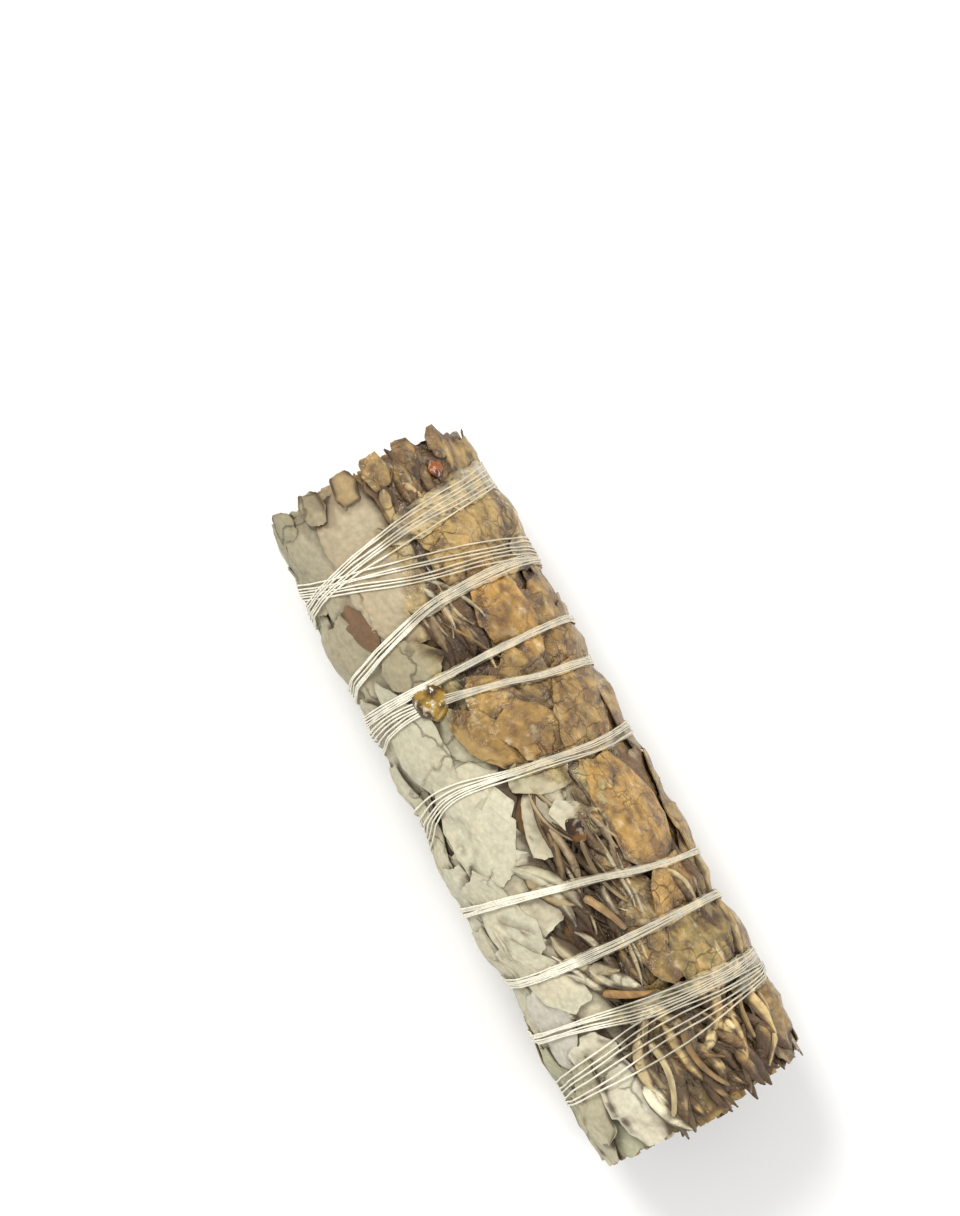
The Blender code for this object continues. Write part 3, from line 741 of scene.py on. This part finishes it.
def nodes_of(*kinds):
    """The CAD nodes of some kinds, such as pale_leaf."""
    return [node for node in PLACES if node.rsplit("_", 1)[0] in kinds]


def nearest_node(spec, *kinds):
    """The CAD node nearest to a leaf's middle."""
    turn, radius = math.radians(spec.angle), 16.0
    spot = Vector((spec.x, AXIS_Y + radius * math.sin(turn), AXIS_Z + radius * math.cos(turn)))
    return min(nodes_of(*kinds), key=lambda node: (PLACES[node] - spot).length)


for index, spec in enumerate(UNDER):
    lay(f"under_leaf_{index + 1}", spec, UNDER_STEP)

# Filling leaves all round the bundle, in rings that overlap like shingles.
FILL_RINGS = 9
FILL_PER_RING = 9
for ring in range(FILL_RINGS):
    for place in range(FILL_PER_RING):
        x = -46.0 + 92.0 * ring / (FILL_RINGS - 1) + RNG.uniform(-3, 3)
        angle = 360.0 * (place + 0.5 * (ring % 2)) / FILL_PER_RING + RNG.uniform(-9, 9)
        length, width = RNG.uniform(16, 28), RNG.uniform(10, 16)
        x = float(np.clip(x, -END - 0.4 + length / 2, END + 0.4 - length / 2))
        heading = RNG.choice((0, 180)) + RNG.normal(0, 12)
        shape = RNG.choice(("lance", "oval", "plate", "plate", "cut"))
        start = (angle + 180.0) % 360.0 - 180.0
        curl, tip = RNG.uniform(0.05, 0.35), RNG.uniform(0, 0.3)
        wave = RNG.uniform(0.1, 0.25) if -100 < start < -10 else RNG.uniform(0.2, 0.45)
        more = {"curl": curl, "tip": tip, "wave": wave, "bend": RNG.uniform(-25, 25)}
        spec = at_angle(x, angle, length, width, heading, shape, zone_tint(angle), **more)
        node = nearest_node(spec, "under_leaf", "back_leaf", "pale_leaf", "resin_leaf")
        lay(node, spec, HIDDEN_STEP if abs(start) > 95 else FILL_STEP)

PALE_SIDE = [
    leaf(-29, -16.4, 24, 8, 0, (186, 178, 150)),
    leaf(-43, -14.5, 15, 9, 182, (178, 170, 144), curl=0.3),
    leaf(-40, -11.5, 20, 9, 5, (182, 172, 145), curl=0.3),
    leaf(-37.5, -4.8, 25, 12.5, -3, (194, 178, 148), curl=0.12, wave=0.22),
    leaf(-25.5, -13.0, 17, 9, 14, (182, 172, 144), curl=0.3),
    leaf(-23.0, -7.4, 10, 8, 60, (174, 163, 133), curl=0.3),
    leaf(-13, -15.8, 20, 8, 2, (198, 190, 165), curl=0.2),
    leaf(0, -16.4, 26, 7, -3, (203, 197, 171), curl=0.2),
    leaf(-8.6, -6.6, 14, 9.5, -24, (190, 184, 156), curl=0.2, wave=0.5),
    leaf(-13.5, -11.8, 22, 9.5, 186, (204, 198, 172), "lance", curl=0.25, wave=0.25),
    leaf(12, -15.4, 17, 8, 0, (205, 199, 174), curl=0.3),
    leaf(22, -15.6, 18, 8, 6, (200, 193, 168), curl=0.3),
    leaf(16, -11.5, 17, 7.5, 28, (208, 202, 176), "oval", curl=0.4),
    leaf(11.2, -8.2, 13.5, 10, 16, (212, 204, 177), curl=0.35, wave=0.4),
    leaf(0.8, -9.8, 17, 13.5, 3, (208, 202, 176), curl=0.1, wave=0.18),
    leaf(21.5, -9.5, 18, 6.5, 33, (212, 204, 176), "lance", curl=0.5),
    leaf(24.5, -12.5, 14, 5.5, 24, (198, 190, 162), "lance", curl=0.5),
    leaf(28.5, -8.2, 14, 6, 38, (206, 199, 172), "lance", curl=0.5),
    leaf(29.8, -13.4, 12, 8, 0, (202, 197, 182), "oval", curl=0.15, wave=0.15),
    leaf(38.5, -9.6, 12, 8, 20, (214, 207, 182), curl=0.4),
    leaf(44.5, -15.4, 11.5, 7, 180, (198, 190, 162), curl=0.4),
    leaf(41.5, -13.2, 13, 7, -12, (190, 182, 153), "oval", curl=0.7, tip=0.5),
    leaf(44.0, -8.0, 12, 7.5, 186, (218, 211, 188), curl=0.6, tip=0.4),
    leaf(-31.0, -10.8, 8, 4, 14, (128, 100, 74), "oval", curl=0.1),
    leaf(13.5, -12.2, 15, 8, 20, (206, 200, 175), curl=0.3),
    leaf(23.0, -11.2, 15, 7, 30, (210, 203, 177), curl=0.35),
    leaf(-49.2, -3.6, 5.5, 4.0, 180, (178, 154, 112), crown=0.5, curl=0.2),
    leaf(-49.0, -9.0, 5.0, 4.5, 182, (172, 160, 130), crown=0.3, curl=0.2),
    leaf(-48.8, -13.6, 5.0, 4.5, 176, (168, 160, 132), crown=0.3, curl=0.2),
]
RESIN_SIDE = [
    leaf(-38, 16.4, 22, 8, 2, (182, 158, 114)),
    leaf(-43, 13.5, 15, 9, 184, (170, 144, 104), curl=0.3),
    leaf(-44.5, 8.0, 12, 10, 180, (146, 120, 92), curl=0.3, wave=0.8),
    leaf(-45, 2.8, 11, 7, 184, (136, 108, 84), curl=0.3, wave=0.8),
    leaf(-35.5, 12.0, 17, 9, -8, (190, 163, 114)),
    leaf(-37.0, 6.6, 12, 9, 20, (192, 164, 118), wave=0.6),
    leaf(-31.0, 7.2, 12, 8, 26, (206, 176, 128), wave=0.6),
    leaf(-25, 2.6, 12, 4, 10, (118, 90, 58), "lance", curl=0.4),
    leaf(-10, 16.8, 24, 7, 0, (172, 146, 102)),
    leaf(-17, 13.2, 18, 10, 2, (164, 132, 84), wave=0.6),
    leaf(-24, 8.6, 16, 9, 8, (184, 144, 82), "oval", crown=0.3, wave=0.5),
    leaf(-12.5, 7.2, 13, 9, 30, (180, 152, 104), wave=0.6),
    leaf(-13, 1.6, 12, 6.5, 34, (180, 146, 94), "oval", wave=0.6),
    leaf(-8.5, -1.6, 13, 6, 34, (172, 140, 88), wave=0.6),
    leaf(-6.2, 4.6, 13, 7.5, 36, (172, 138, 88), wave=0.6),
    leaf(-6.5, 11.4, 16, 10, -14, (180, 148, 98), wave=0.6),
    leaf(12, 16.8, 20, 6, 0, (178, 150, 102)),
    leaf(1.6, 4.2, 11, 9, 60, (188, 176, 144), wave=0.9),
    leaf(3.6, -0.2, 12, 6.5, -28, (196, 187, 160), wave=0.9),
    leaf(6.0, 3.4, 8, 4.5, 40, (198, 190, 164), wave=0.8),
    leaf(-1.5, 1.4, 9, 5, 70, (186, 176, 146), wave=0.9),
    leaf(17, 5.4, 14, 7, 12, (166, 144, 108), wave=0.9),
    leaf(9.0, 11.2, 19, 12.5, 4, (190, 152, 92), "oval", curl=0.15, wave=0.4),
    leaf(35, 16.6, 22, 7, 0, (170, 148, 106)),
    leaf(24, 13.6, 13, 7, 10, (164, 138, 92), wave=0.7),
    leaf(20.6, 11.0, 10.5, 8.5, -58, (182, 145, 90), "oval", curl=0.6, wave=0.5),
    leaf(25.4, 4.4, 14, 6, 8, (148, 124, 86), wave=0.9),
    leaf(29.8, 10.2, 13.5, 10.5, -20, (166, 146, 98), curl=0.3, wave=1.1),
    leaf(43, 14.6, 14, 7, 180, (150, 125, 84), wave=0.8),
    leaf(-49.2, 1.6, 5.5, 4.0, 180, (164, 138, 104), crown=0.4, curl=0.2),
    leaf(-49.0, 6.4, 5.0, 4.5, 176, (140, 116, 88), crown=0.3, curl=0.2),
    leaf(-49.2, 11.6, 5.0, 4.5, 184, (150, 124, 92), crown=0.3, curl=0.2),
]
for kind, table in (("pale_leaf", PALE_SIDE), ("resin_leaf", RESIN_SIDE)):
    for spec in table:
        lay(nearest_node(spec, kind), spec, PLACED_STEP)

# Narrow folded strips of leaf and stalk, which lie along the bundle and show as fibres.
Bed = namedtuple("Bed", "count x_low x_high y_low y_high heading spread length width tints kind")
FIBRE_TINTS = (
    *((196, 184, 156), (170, 150, 118), (130, 108, 78)),
    *((92, 72, 50), (176, 158, 124), (206, 196, 168)),
)
STALK_TINTS = ((168, 138, 90), (128, 100, 62), (184, 158, 110), (202, 180, 134), (84, 62, 38))
PALE_TINTS = ((190, 178, 146), (166, 148, 112), (206, 198, 168), (212, 204, 178))
BEDS = [
    Bed(46, 3, 28, -3.0, 6.2, 6, 14, (6, 15), (0.6, 1.5), FIBRE_TINTS, "resin_leaf"),
    Bed(8, 12, 28, -6.0, -3.2, 34, 8, (9, 15), (1.0, 2.4), PALE_TINTS, "pale_leaf"),
    Bed(34, 36, 47, -4.5, 14.0, 6, 20, (7, 14), (1.0, 2.6), STALK_TINTS, "resin_leaf"),
    Bed(9, 38, 47, -6.5, -2.5, 2, 16, (7, 12), (1.0, 2.2), PALE_TINTS, "pale_leaf"),
    Bed(14, -30, -20, -3.0, 4.2, 8, 12, (6, 12), (0.6, 1.5), FIBRE_TINTS, "resin_leaf"),
    Bed(10, -48, -43, -1.0, 14.0, 0, 20, (5, 9), (0.9, 2.0), STALK_TINTS, "resin_leaf"),
    Bed(10, 18, 34, 12.0, 16.5, 4, 10, (7, 13), (0.8, 1.8), STALK_TINTS, "resin_leaf"),
]
for bed in BEDS:
    for _ in range(bed.count):
        x, y = RNG.uniform(bed.x_low, bed.x_high), RNG.uniform(bed.y_low, bed.y_high)
        length, width = RNG.uniform(*bed.length), RNG.uniform(*bed.width)
        x = float(np.clip(x, -END - 1.9 + length / 2, END + 1.9 - length / 2))
        tint = bed.tints[RNG.integers(len(bed.tints))]
        heading = bed.heading + RNG.normal(0, bed.spread)
        more = {"curl": 0.05, "wave": 0.16, "thick": 0.2, "bend": RNG.uniform(-70, 70)}
        crown = RNG.uniform(0.15, 0.4) * width
        spec = leaf(x, y, length, width, heading, tint, "strip", crown=crown, **more)
        lay(nearest_node(spec, bed.kind), spec, STRIP_STEP)

# === Stalks

Stalk = namedtuple("Stalk", "node x y length radius heading bend tint")
STALKS = [
    Stalk("surface_stalk_1", 30.2, -1.4, 8.0, 0.6, 62, 24, (160, 122, 76)),
    Stalk("surface_stalk_2", 19.0, 0.4, 7.5, 0.6, 24, -16, (146, 118, 80)),
    Stalk("surface_stalk_3", 42.8, 3.6, 11.0, 0.5, 12, 60, (128, 102, 66)),
    Stalk("surface_stalk_3", 40.0, 12.4, 10.0, 0.45, -28, 70, (140, 116, 76)),
    Stalk("surface_stalk_4", 42.6, -3.4, 11.0, 0.5, -8, -50, (176, 158, 116)),
    Stalk("surface_stalk_2", 14.0, 3.2, 11.0, 0.35, 8, 40, (126, 106, 76)),
]


def lay_stalk(spec):
    """A round stalk with ridges along it, lying on the leaves."""
    count = max(8, round(spec.length / 0.45))
    s = np.linspace(0, 1, count)
    turn = np.radians(spec.heading + spec.bend * (s - 0.5))
    step = spec.length / count
    x = spec.x + np.cumsum(np.cos(turn)) * step - np.cos(math.radians(spec.heading)) * spec.length / 2
    arc = np.cumsum(np.sin(turn)) * step - math.sin(math.radians(spec.heading)) * spec.length / 2
    angle = angle_at(spec.y) + arc / DEGREE
    base = SURFACE.draped(0.3, 0.9)
    radius = spec.radius * (1 - 0.35 * s) * (1 + 0.08 * EDGE(s * 9, spec.x))
    radius = radius * np.clip(np.minimum(s, 1 - s) / 0.03 + 0.55, 0, 1)
    low = SURFACE.read(base, x, angle) + 0.1 * spec.radius
    ring = circle(10)
    ridge = 1 + 0.07 * np.cos(5 * ring)[None, :]
    normal_x, normal_w = -np.sin(turn)[:, None], np.cos(turn)[:, None]
    out = radius[:, None] * ridge
    ring_x = x[:, None] + normal_x * out * np.cos(ring)
    ring_angle = angle[:, None] + normal_w * out * np.cos(ring) / DEGREE
    ring_r = low[:, None] + out * np.sin(ring)
    SURFACE.lay(ring_x, ring_angle, ring_r)
    return x, angle, low, ring_x, ring_angle, ring_r


stalk_rings = [(spec, *lay_stalk(spec)) for spec in STALKS]

# === Making the pieces

PINCH_DEPTH = 0.85
# The finished map, smoothed a little and a lot: a place well below it gets painted shade, as a crevice
# would.
NEAR_SHADE_MAP, BROAD_SHADE_MAP = SURFACE.draped(0.3, 0.3), SURFACE.draped(0.9, 0.9)


def pinched(x, angle, radius):
    return world(x, angle, radius - PINCH_DEPTH * pinch(x, angle))


for node, sheets in SHEETS.items():
    builder = Builder()
    for sheet in sheets:
        colour, gloss, underside = paint_sheet(sheet)
        outer = pinched(sheet.x, sheet.angle, sheet.outer)
        inner = pinched(sheet.x, sheet.angle, sheet.inner)
        builder.add_slab(outer, inner, colour, underside, gloss)
    builder.finish(f"{node}_dried", LEAF_MATERIAL, node)

stalk_builders = {}
for spec, x, angle, low, ring_x, ring_angle, ring_r in stalk_rings:
    builder = stalk_builders.setdefault(spec.node, Builder())
    rings = pinched(ring_x, ring_angle, ring_r)
    centres = pinched(x, angle, low)
    shade = 1 + 0.35 * MIDDLE.fractal(ring_x / 1.1, ring_angle / 3.0, 3)
    tints = linear(spec.tint) * shade[..., None]
    builder.add_tube(centres, rings, tints, resin_share(ring_x, ring_angle) * 0.7)
for node, builder in stalk_builders.items():
    builder.finish(f"{node}_woody", STEM_MATERIAL, node)

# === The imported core, seen at both ends

Roll = namedtuple("Roll", "y z reach stem")
CELLS = 52
CRUSHED = 1.22
SPOKES = 60
SPOKE_ANGLES = np.arange(SPOKES) * TAU / SPOKES


def cell_reach(seeds, which):
    """How far one crushed roll reaches in each direction before it meets another."""
    rays = np.stack([np.cos(SPOKE_ANGLES), np.sin(SPOKE_ANGLES)], 1)
    here = seeds[which]
    along = rays @ here
    reach = -along + np.sqrt(along**2 + (CORE_RADIUS - 0.1) ** 2 - here @ here)
    for other in range(len(seeds)):
        if other != which:
            apart = seeds[other] - here
            facing = rays @ apart
            limit = np.where(facing > 1e-6, (apart @ apart) / 2 / np.maximum(facing, 1e-6), 99.0)
            reach = np.minimum(reach, limit)
    around = np.concatenate([reach[-3:], reach, reach[:3]])
    return np.convolve(around, np.full(7, 1 / 7), "valid")


def pack_core():
    """Rolled leaves crushed against each other until they fill the bundle's cross-section."""
    cloud = RNG.uniform(-CORE_RADIUS, CORE_RADIUS, (6000, 2))
    cloud = cloud[np.hypot(*cloud.T) < CORE_RADIUS - 0.1]
    seeds = cloud[:CELLS].copy()
    for _ in range(3):
        nearest = np.argmin(((cloud[:, None] - seeds[None]) ** 2).sum(-1), axis=1)
        seeds = np.array([cloud[nearest == k].mean(axis=0) for k in range(CELLS)])
    return [Roll(*seeds[k], cell_reach(seeds, k), k % 5 < 2) for k in range(CELLS)]


def along_stations():
    """Places along a core piece: close together at its two ends, which show."""
    low, high = -END + RNG.uniform(-1.4, 1.4), END + RNG.uniform(-1.4, 1.4)
    steps = np.array((0.0, 0.4, 1.2, 2.6, 5.0))
    return np.concatenate([low + steps, [-34.0, 0.0, 34.0], high - steps[::-1]])


core_builders = {node: Builder() for node in nodes_of("core_stem", "rolled_leaf")}


def core_builder(kind, roll):
    """The builder of the nearest core node of a kind."""
    spot = (AXIS_Y + roll.y, AXIS_Z + roll.z)
    return core_builders[min(nodes_of(kind), key=lambda node: math.dist(PLACES[node].yz, spot))]


def polar(y, z):
    return np.degrees(np.arctan2(y, z)), np.hypot(y, z)


def sway(x, seed):
    """How far a roll wanders sideways in the bundle's hidden middle."""
    inside = np.clip((46 - np.abs(x)) / 12, 0, 1)
    return [1.3 * inside * EDGE(x / 20 + seed, row) for row in (seed * 1.7, seed * 2.9 + 40)]


def add_roll(roll, builder, seed):
    """A leaf rolled lengthways and crushed to the room it has, round a stem where it holds one."""
    turns = RNG.uniform(1.3, 1.9) if roll.stem else RNG.uniform(2.0, 3.0)
    first = RNG.uniform(0, TAU)
    turn = np.linspace(0, turns * TAU, int(22 * turns) + 6)
    start = 0.5 if roll.stem else 0.06
    share = start + (1 - start) * turn / turn[-1]
    spoke = np.interp(turn + first, SPOKE_ANGLES, roll.reach, period=TAU)
    x = along_stations()[:, None]
    wobble = 1 + 0.22 * EDGE.fractal(turn[None, :] * 1.3 + seed, x / 4.0, 3)
    reach = CRUSHED * spoke * share * np.minimum(wobble, 1.1)
    thick = np.minimum(RNG.uniform(0.45, 0.7), 0.8 * spoke * (1 - start) / turns)
    shift_y, shift_z = sway(x, seed)
    end = (np.abs(x) > 45) * np.sign(x)
    torn = end * 0.55 * EDGE.fractal(turn[None, :] * 1.4 + seed, np.sign(x) * 3.0, 4)
    faces = []
    for inward in (0.0, thick):
        y = roll.y + shift_y + np.cos(turn + first)[None, :] * (reach - inward)
        z = roll.z + shift_z + np.sin(turn + first)[None, :] * (reach - inward)
        angle, radius = polar(y, z)
        faces.append(world(x + torn, angle, np.minimum(radius, CORE_RADIUS)))
    spot_angle = math.degrees(math.atan2(roll.y, roll.z))
    shape = (len(x), len(turn))
    base = np.broadcast_to(linear(zone_tint(spot_angle)) * RNG.uniform(0.8, 1.1), shape + (3,))
    tint = mixed(base * 0.85, linear((150, 130, 94)), np.full(shape, RNG.uniform(0.1, 0.6)))
    shade = 1 + 0.25 * MIDDLE.fractal(turn[None, :] * 2 + seed, x / 1.5, 3)
    inner = np.clip(share / 0.6, 0.45, 1)[None, :]
    tint = tint * (shade * inner)[..., None]
    builder.add_slab(faces[0], faces[1], tint, tint * 0.85, np.zeros(shape))


def add_stem(roll, builder, seed):
    """A cut woody stem, with a paler pith in the middle of its end."""
    radius = min(0.46 * float(np.min(roll.reach)), 1.25)
    x = along_stations()[:, None]
    turn = circle(16)[None, :]
    grooved = radius * (0.93 + 0.05 * np.cos(4 * turn + roll.y) + 0.03 * np.cos(9 * turn))
    shift_y, shift_z = sway(x, seed)
    rings, tints = [], []
    along = [(1.0, k) for k in range(1, len(x) - 1)]
    for share, place in ((0.45, 0), (0.97, 0), *along, (0.97, -1), (0.45, -1)):
        y = roll.y + shift_y[place] + share * grooved[0] * np.cos(turn[0])
        z = roll.z + shift_z[place] + share * grooved[0] * np.sin(turn[0])
        angle, out = polar(y, z)
        rough = 0.12 * EDGE.fractal(turn[0] * 2, seed, 2) if place in (0, -1) else 0.0
        rings.append(world(x[place] + rough, angle, out))
        wood = {1.0: (150, 116, 70), 0.97: (176, 146, 98), 0.45: (206, 184, 140)}[share]
        tints.append(np.broadcast_to(linear(wood), (16, 3)))
    rings = np.array(rings)
    centres = np.array([ring.mean(axis=0) for ring in rings])
    builder.add_tube(centres, rings, np.array(tints), 0.0)


for index, roll in enumerate(pack_core()):
    add_roll(roll, core_builder("rolled_leaf", roll), index * 3.1)
    if roll.stem:
        add_stem(roll, core_builder("core_stem", roll), index * 3.1)
for node, builder in core_builders.items():
    if builder.count == 0:
        place = PLACES[node]
        narrow = Roll(place.y - AXIS_Y, place.z - AXIS_Z, np.full(SPOKES, 1.4), True)
        add_stem(narrow, builder, len(node))
    material = STEM_MATERIAL if "stem" in node else LEAF_MATERIAL
    builder.finish(f"{node}_dried", material, node)

# === The cotton strands

# In degrees: the step along a strand, and how far its ends run on under the bundle, out of sight.
STRAND_STEP = 3.0
TAIL = 78.0


def strand_orders():
    """Each strand's place across the fan at each knot of the route, crossing over now and then."""
    ranks = np.arange(STRANDS)
    orders = np.zeros((len(KNOTS), STRANDS))
    for knot in range(len(KNOTS)):
        if knot % 5 == 0:
            a, b = RNG.choice(STRANDS, 2, replace=False)
            ranks[[a, b]] = ranks[[b, a]]
        uneven, even = np.sort(RNG.uniform(-0.5, 0.5, STRANDS)), np.linspace(-0.5, 0.5, STRANDS)
        orders[knot] = (uneven * 0.45 + even * 0.55)[ranks]
    return orders


# Where resin has stuck the strands together into a flat band: turn number, then first and last angle.
STUCK = (
    *((0, -8, 110), (1, 52, 110), (2, -14, 110), (3, -30, 70), (4, -4, 110)),
    *((5, -10, 112), (6, -34, 60), (7, -44, 112), (8, -20, 112), (9, 40, 112)),
)


def add_ribbon(builder, first, last, lifted):
    """Cotton soaked in resin: a thin band with the strands' ridges along it."""
    totals = np.arange(first, last + 1, 1.5)[:, None]
    across = np.linspace(-0.5, 0.5, 15)[None, :]
    fan = np.interp(totals, ROUTE_ANGLES, FAN) + 0.45
    tail = np.clip(np.minimum(totals - first, last - totals) / 10.0, 0.1, 1) ** 0.7
    frayed = 1 + 0.25 * EDGE.fractal(totals / 5.0, np.sign(across) * 4.0 + first, 3)
    x = np.interp(totals, ROUTE_ANGLES, ROUTE) + across * fan * tail * frayed
    radius = SURFACE.read(lifted, x, totals) - PINCH_DEPTH * pinch(x, totals)
    ridges = EDGE.fractal(x / 0.32 + first, totals / 26.0, 2)
    outer = radius + 0.17 + 0.06 * ridges
    below = SURFACE.tint_at(x, totals)
    light = np.clip(0.30 + 0.5 * ridges - 0.25 * np.abs(2 * across) ** 3, 0.08, 0.92)
    tint = mixed(below, linear((208, 194, 156)), light)
    faces = world(x, totals, outer), world(x, totals, outer - 0.12)
    builder.add_slab(*faces, tint, tint, np.ones(outer.shape))


def wind_strands():
    builder = Builder()
    totals = np.arange(ROUTE_ANGLES[0] - TAIL, ROUTE_ANGLES[-1] + TAIL, STRAND_STEP)
    middle = np.interp(totals, ROUTE_ANGLES, ROUTE)
    fan = np.interp(totals, ROUTE_ANGLES, FAN)
    orders = strand_orders()
    lifted = SURFACE.draped(0.3, 0.35)
    tucked = 1.6 * np.clip(1 - np.minimum(totals - totals[0], totals[-1] - totals) / 20.0, 0, 1)
    for strand in range(STRANDS):
        order = smooth_through(KNOTS, orders[:, strand], np.clip(totals, KNOTS[0], KNOTS[-1]))
        wander = 0.12 * EDGE.fractal(totals / 16.0 + 7 * strand, strand * 3.3, 2)
        x = middle + fan * order + wander
        base = SURFACE.read(lifted, x, totals) - PINCH_DEPTH * pinch(x, totals) - tucked
        radius = base + STRAND_RADIUS * 0.8 + 0.12 * ((totals // 360.0) % 2)
        for _ in range(14):
            # A taut strand runs straight over a dip instead of into it.
            chord = (np.roll(radius, 1) + np.roll(radius, -1)) / 2
            chord[[0, -1]] = 0
            radius = np.maximum(radius, chord * math.cos(math.radians(STRAND_STEP)))
        radius = radius + 0.14 * (0.5 + 0.5 * EDGE(totals / 30.0, strand * 5.1))
        sides = 6
        ring = circle(sides)[None, :]
        twist = 1 + 0.16 * np.cos(2 * ring - totals[:, None] * 0.5)
        size = STRAND_RADIUS * twist
        ring_x = x[:, None] + size * np.cos(ring)
        ring_r = radius[:, None] + size * np.sin(ring)
        rings = world(ring_x, totals[:, None], ring_r)
        centres = world(x, totals, radius)
        resin = resin_share(x, totals)
        below = SURFACE.tint_at(x, totals)
        cream = np.broadcast_to(linear((238, 233, 214)), x.shape + (3,))
        tint = mixed(cream, below * 0.6 + linear((222, 210, 178)) * 0.4, 0.7 * resin)
        tints = np.repeat(tint[:, None, :], sides, axis=1)
        builder.add_tube(centres, rings, tints, np.repeat(resin[:, None], sides, axis=1))
    for turn, first, last in STUCK:
        add_ribbon(builder, 360 * turn + first, 360 * turn + last, lifted)
    builder.finish("cotton_thread_strands", COTTON_MATERIAL, "cotton_thread", sharp=80)


wind_strands()

# === Resin drops

Drop = namedtuple("Drop", "node x y length width height shade crust")
DROPS = [
    Drop("resin_drop_1", -17.3, -6.9, 5.6, 5.2, 1.3, (1.0, 1.0, 1.0), 1.0),
    Drop("resin_drop_2", 7.4, 2.4, 3.4, 2.6, 0.22, (0.42, 0.30, 0.28), 0.3),
    Drop("resin_drop_3", -45.8, 9.6, 2.6, 2.4, 0.22, (0.78, 0.36, 0.24), 0.3),
]


def set_drop(spec, builder):
    rows, columns = 18, 28
    s = np.linspace(0.02, 1, rows)[:, None]
    turn = circle(columns)[None, :]
    edge = 1 + 0.38 * EDGE.fractal(np.cos(turn) * 1.4 + spec.x, np.sin(turn) * 1.4 + spec.y, 2)
    x = spec.x + s * edge * np.cos(turn) * spec.length / 2
    angle = angle_at(spec.y) + s * edge * np.sin(turn) * spec.width / 2 / DEGREE
    base = SURFACE.read(SURFACE.draped(0.3, 1.2), x, angle)
    lumps = 0.45 * spec.height * FINE.fractal(x / 0.9, angle / 3.2, 3)
    top = base + spec.height * np.sqrt(np.clip(1 - s**2.2, 0, 1)) + lumps * (1 - s)
    under = base - 0.4
    rings = np.concatenate([top, under[::-1]], axis=0)
    x, angle = (np.concatenate([grid, grid[::-1]], axis=0) for grid in (x, angle))
    points = pinched(x, angle, rings)
    centres = np.stack([points[0].mean(axis=0), points[-1].mean(axis=0)])
    builder.add_tube(centres, points[:, ::-1], np.broadcast_to(spec.shade, points.shape), spec.crust)


drop_builders = {}
for spec in DROPS:
    set_drop(spec, drop_builders.setdefault(spec.node, Builder()))
for node, builder in drop_builders.items():
    builder.finish(f"{node}_glassy", RESIN_MATERIAL, node, sharp=80)

# === Floor, light and camera


def floor_material():
    n = Nodes("pale_floor")
    shade = n.range(n.noise(9.0, 2.0), 0.3, 0.7, 0.97, 1.03)
    return n.set(Base_Color=n.shaded((0.86, 0.86, 0.86, 1.0), shade), Roughness=0.75)


def add_floor():
    mesh = bpy.data.meshes.new("floor")
    corners = [(-3.0, -3.0, 0), (3.0, -3.0, 0), (3.0, 3.0, 0), (-3.0, 3.0, 0)]
    mesh.from_pydata(corners, [], [(0, 1, 2, 3)])
    mesh.materials.append(floor_material())
    floor = bpy.data.objects.new("floor", mesh)
    link(floor)


# The picture's right and up as directions over the floor.
PHOTO_RIGHT = Vector((0.4725, 0.8813, 0.0))
PHOTO_UP = Vector((-0.8813, 0.4725, 0.0))


def add_light(name, place, size, power, colour=(1, 1, 1)):
    data = bpy.data.lights.new(name, "AREA")
    data.shape, data.size, data.energy, data.color = "DISK", size, power, colour
    light = bpy.data.objects.new(name, data)
    light.location = place
    light.rotation_euler = (-Vector(place)).to_track_quat("-Z", "Y").to_euler()
    link(light)


def add_lights():
    up = Vector((0, 0, 1))
    add_light("key", PHOTO_UP * 0.45 - PHOTO_RIGHT * 0.30 + up * 0.75, 0.35, 5.6, (1.0, 0.985, 0.96))
    add_light("fill", -PHOTO_UP * 0.6 + PHOTO_RIGHT * 0.5 + up * 0.6, 0.6, 2.2)
    add_light("rim", PHOTO_RIGHT * 0.8 + PHOTO_UP * 0.2 + up * 0.35, 0.4, 2.4)
    world_light = bpy.data.worlds.new("studio")
    world_light.use_nodes = True
    background = world_light.node_tree.nodes["Background"]
    background.inputs["Color"].default_value = (1.0, 1.0, 1.0, 1.0)
    background.inputs["Strength"].default_value = 0.76
    bpy.context.scene.world = world_light
    bpy.context.scene.view_settings.view_transform = "Standard"


# In millimetres: how much the picture's height takes in, and how far the bundle lies off its middle.
VIEW_HEIGHT = 172.973
OFF_RIGHT, OFF_DOWN = 7.1124, 26.6003
LENS, SENSOR = 100.0, 36.0
# How far the camera leans back from looking straight down.
LEAN = math.radians(4.5)


def add_camera():
    """Looks down on the bundle, which lies across the picture from upper left to lower right."""
    target = (PHOTO_UP * OFF_DOWN - PHOTO_RIGHT * OFF_RIGHT + Vector((0, 0, AXIS_Z))) * MM
    distance = VIEW_HEIGHT / SENSOR * LENS * MM
    back = (-PHOTO_UP * math.sin(LEAN) + Vector((0, 0, 1)) * math.cos(LEAN)).normalized()
    data = bpy.data.cameras.new("camera")
    data.lens, data.sensor_width = LENS, SENSOR
    data.clip_start, data.clip_end = 0.01, 10.0
    camera = bpy.data.objects.new("camera", data)
    basis = Matrix((PHOTO_RIGHT, back.cross(PHOTO_RIGHT), back)).transposed().to_4x4()
    camera.matrix_world = Matrix.Translation(target + back * distance) @ basis
    link(camera)
    bpy.context.scene.camera = camera


add_floor()
add_lights()
add_camera()
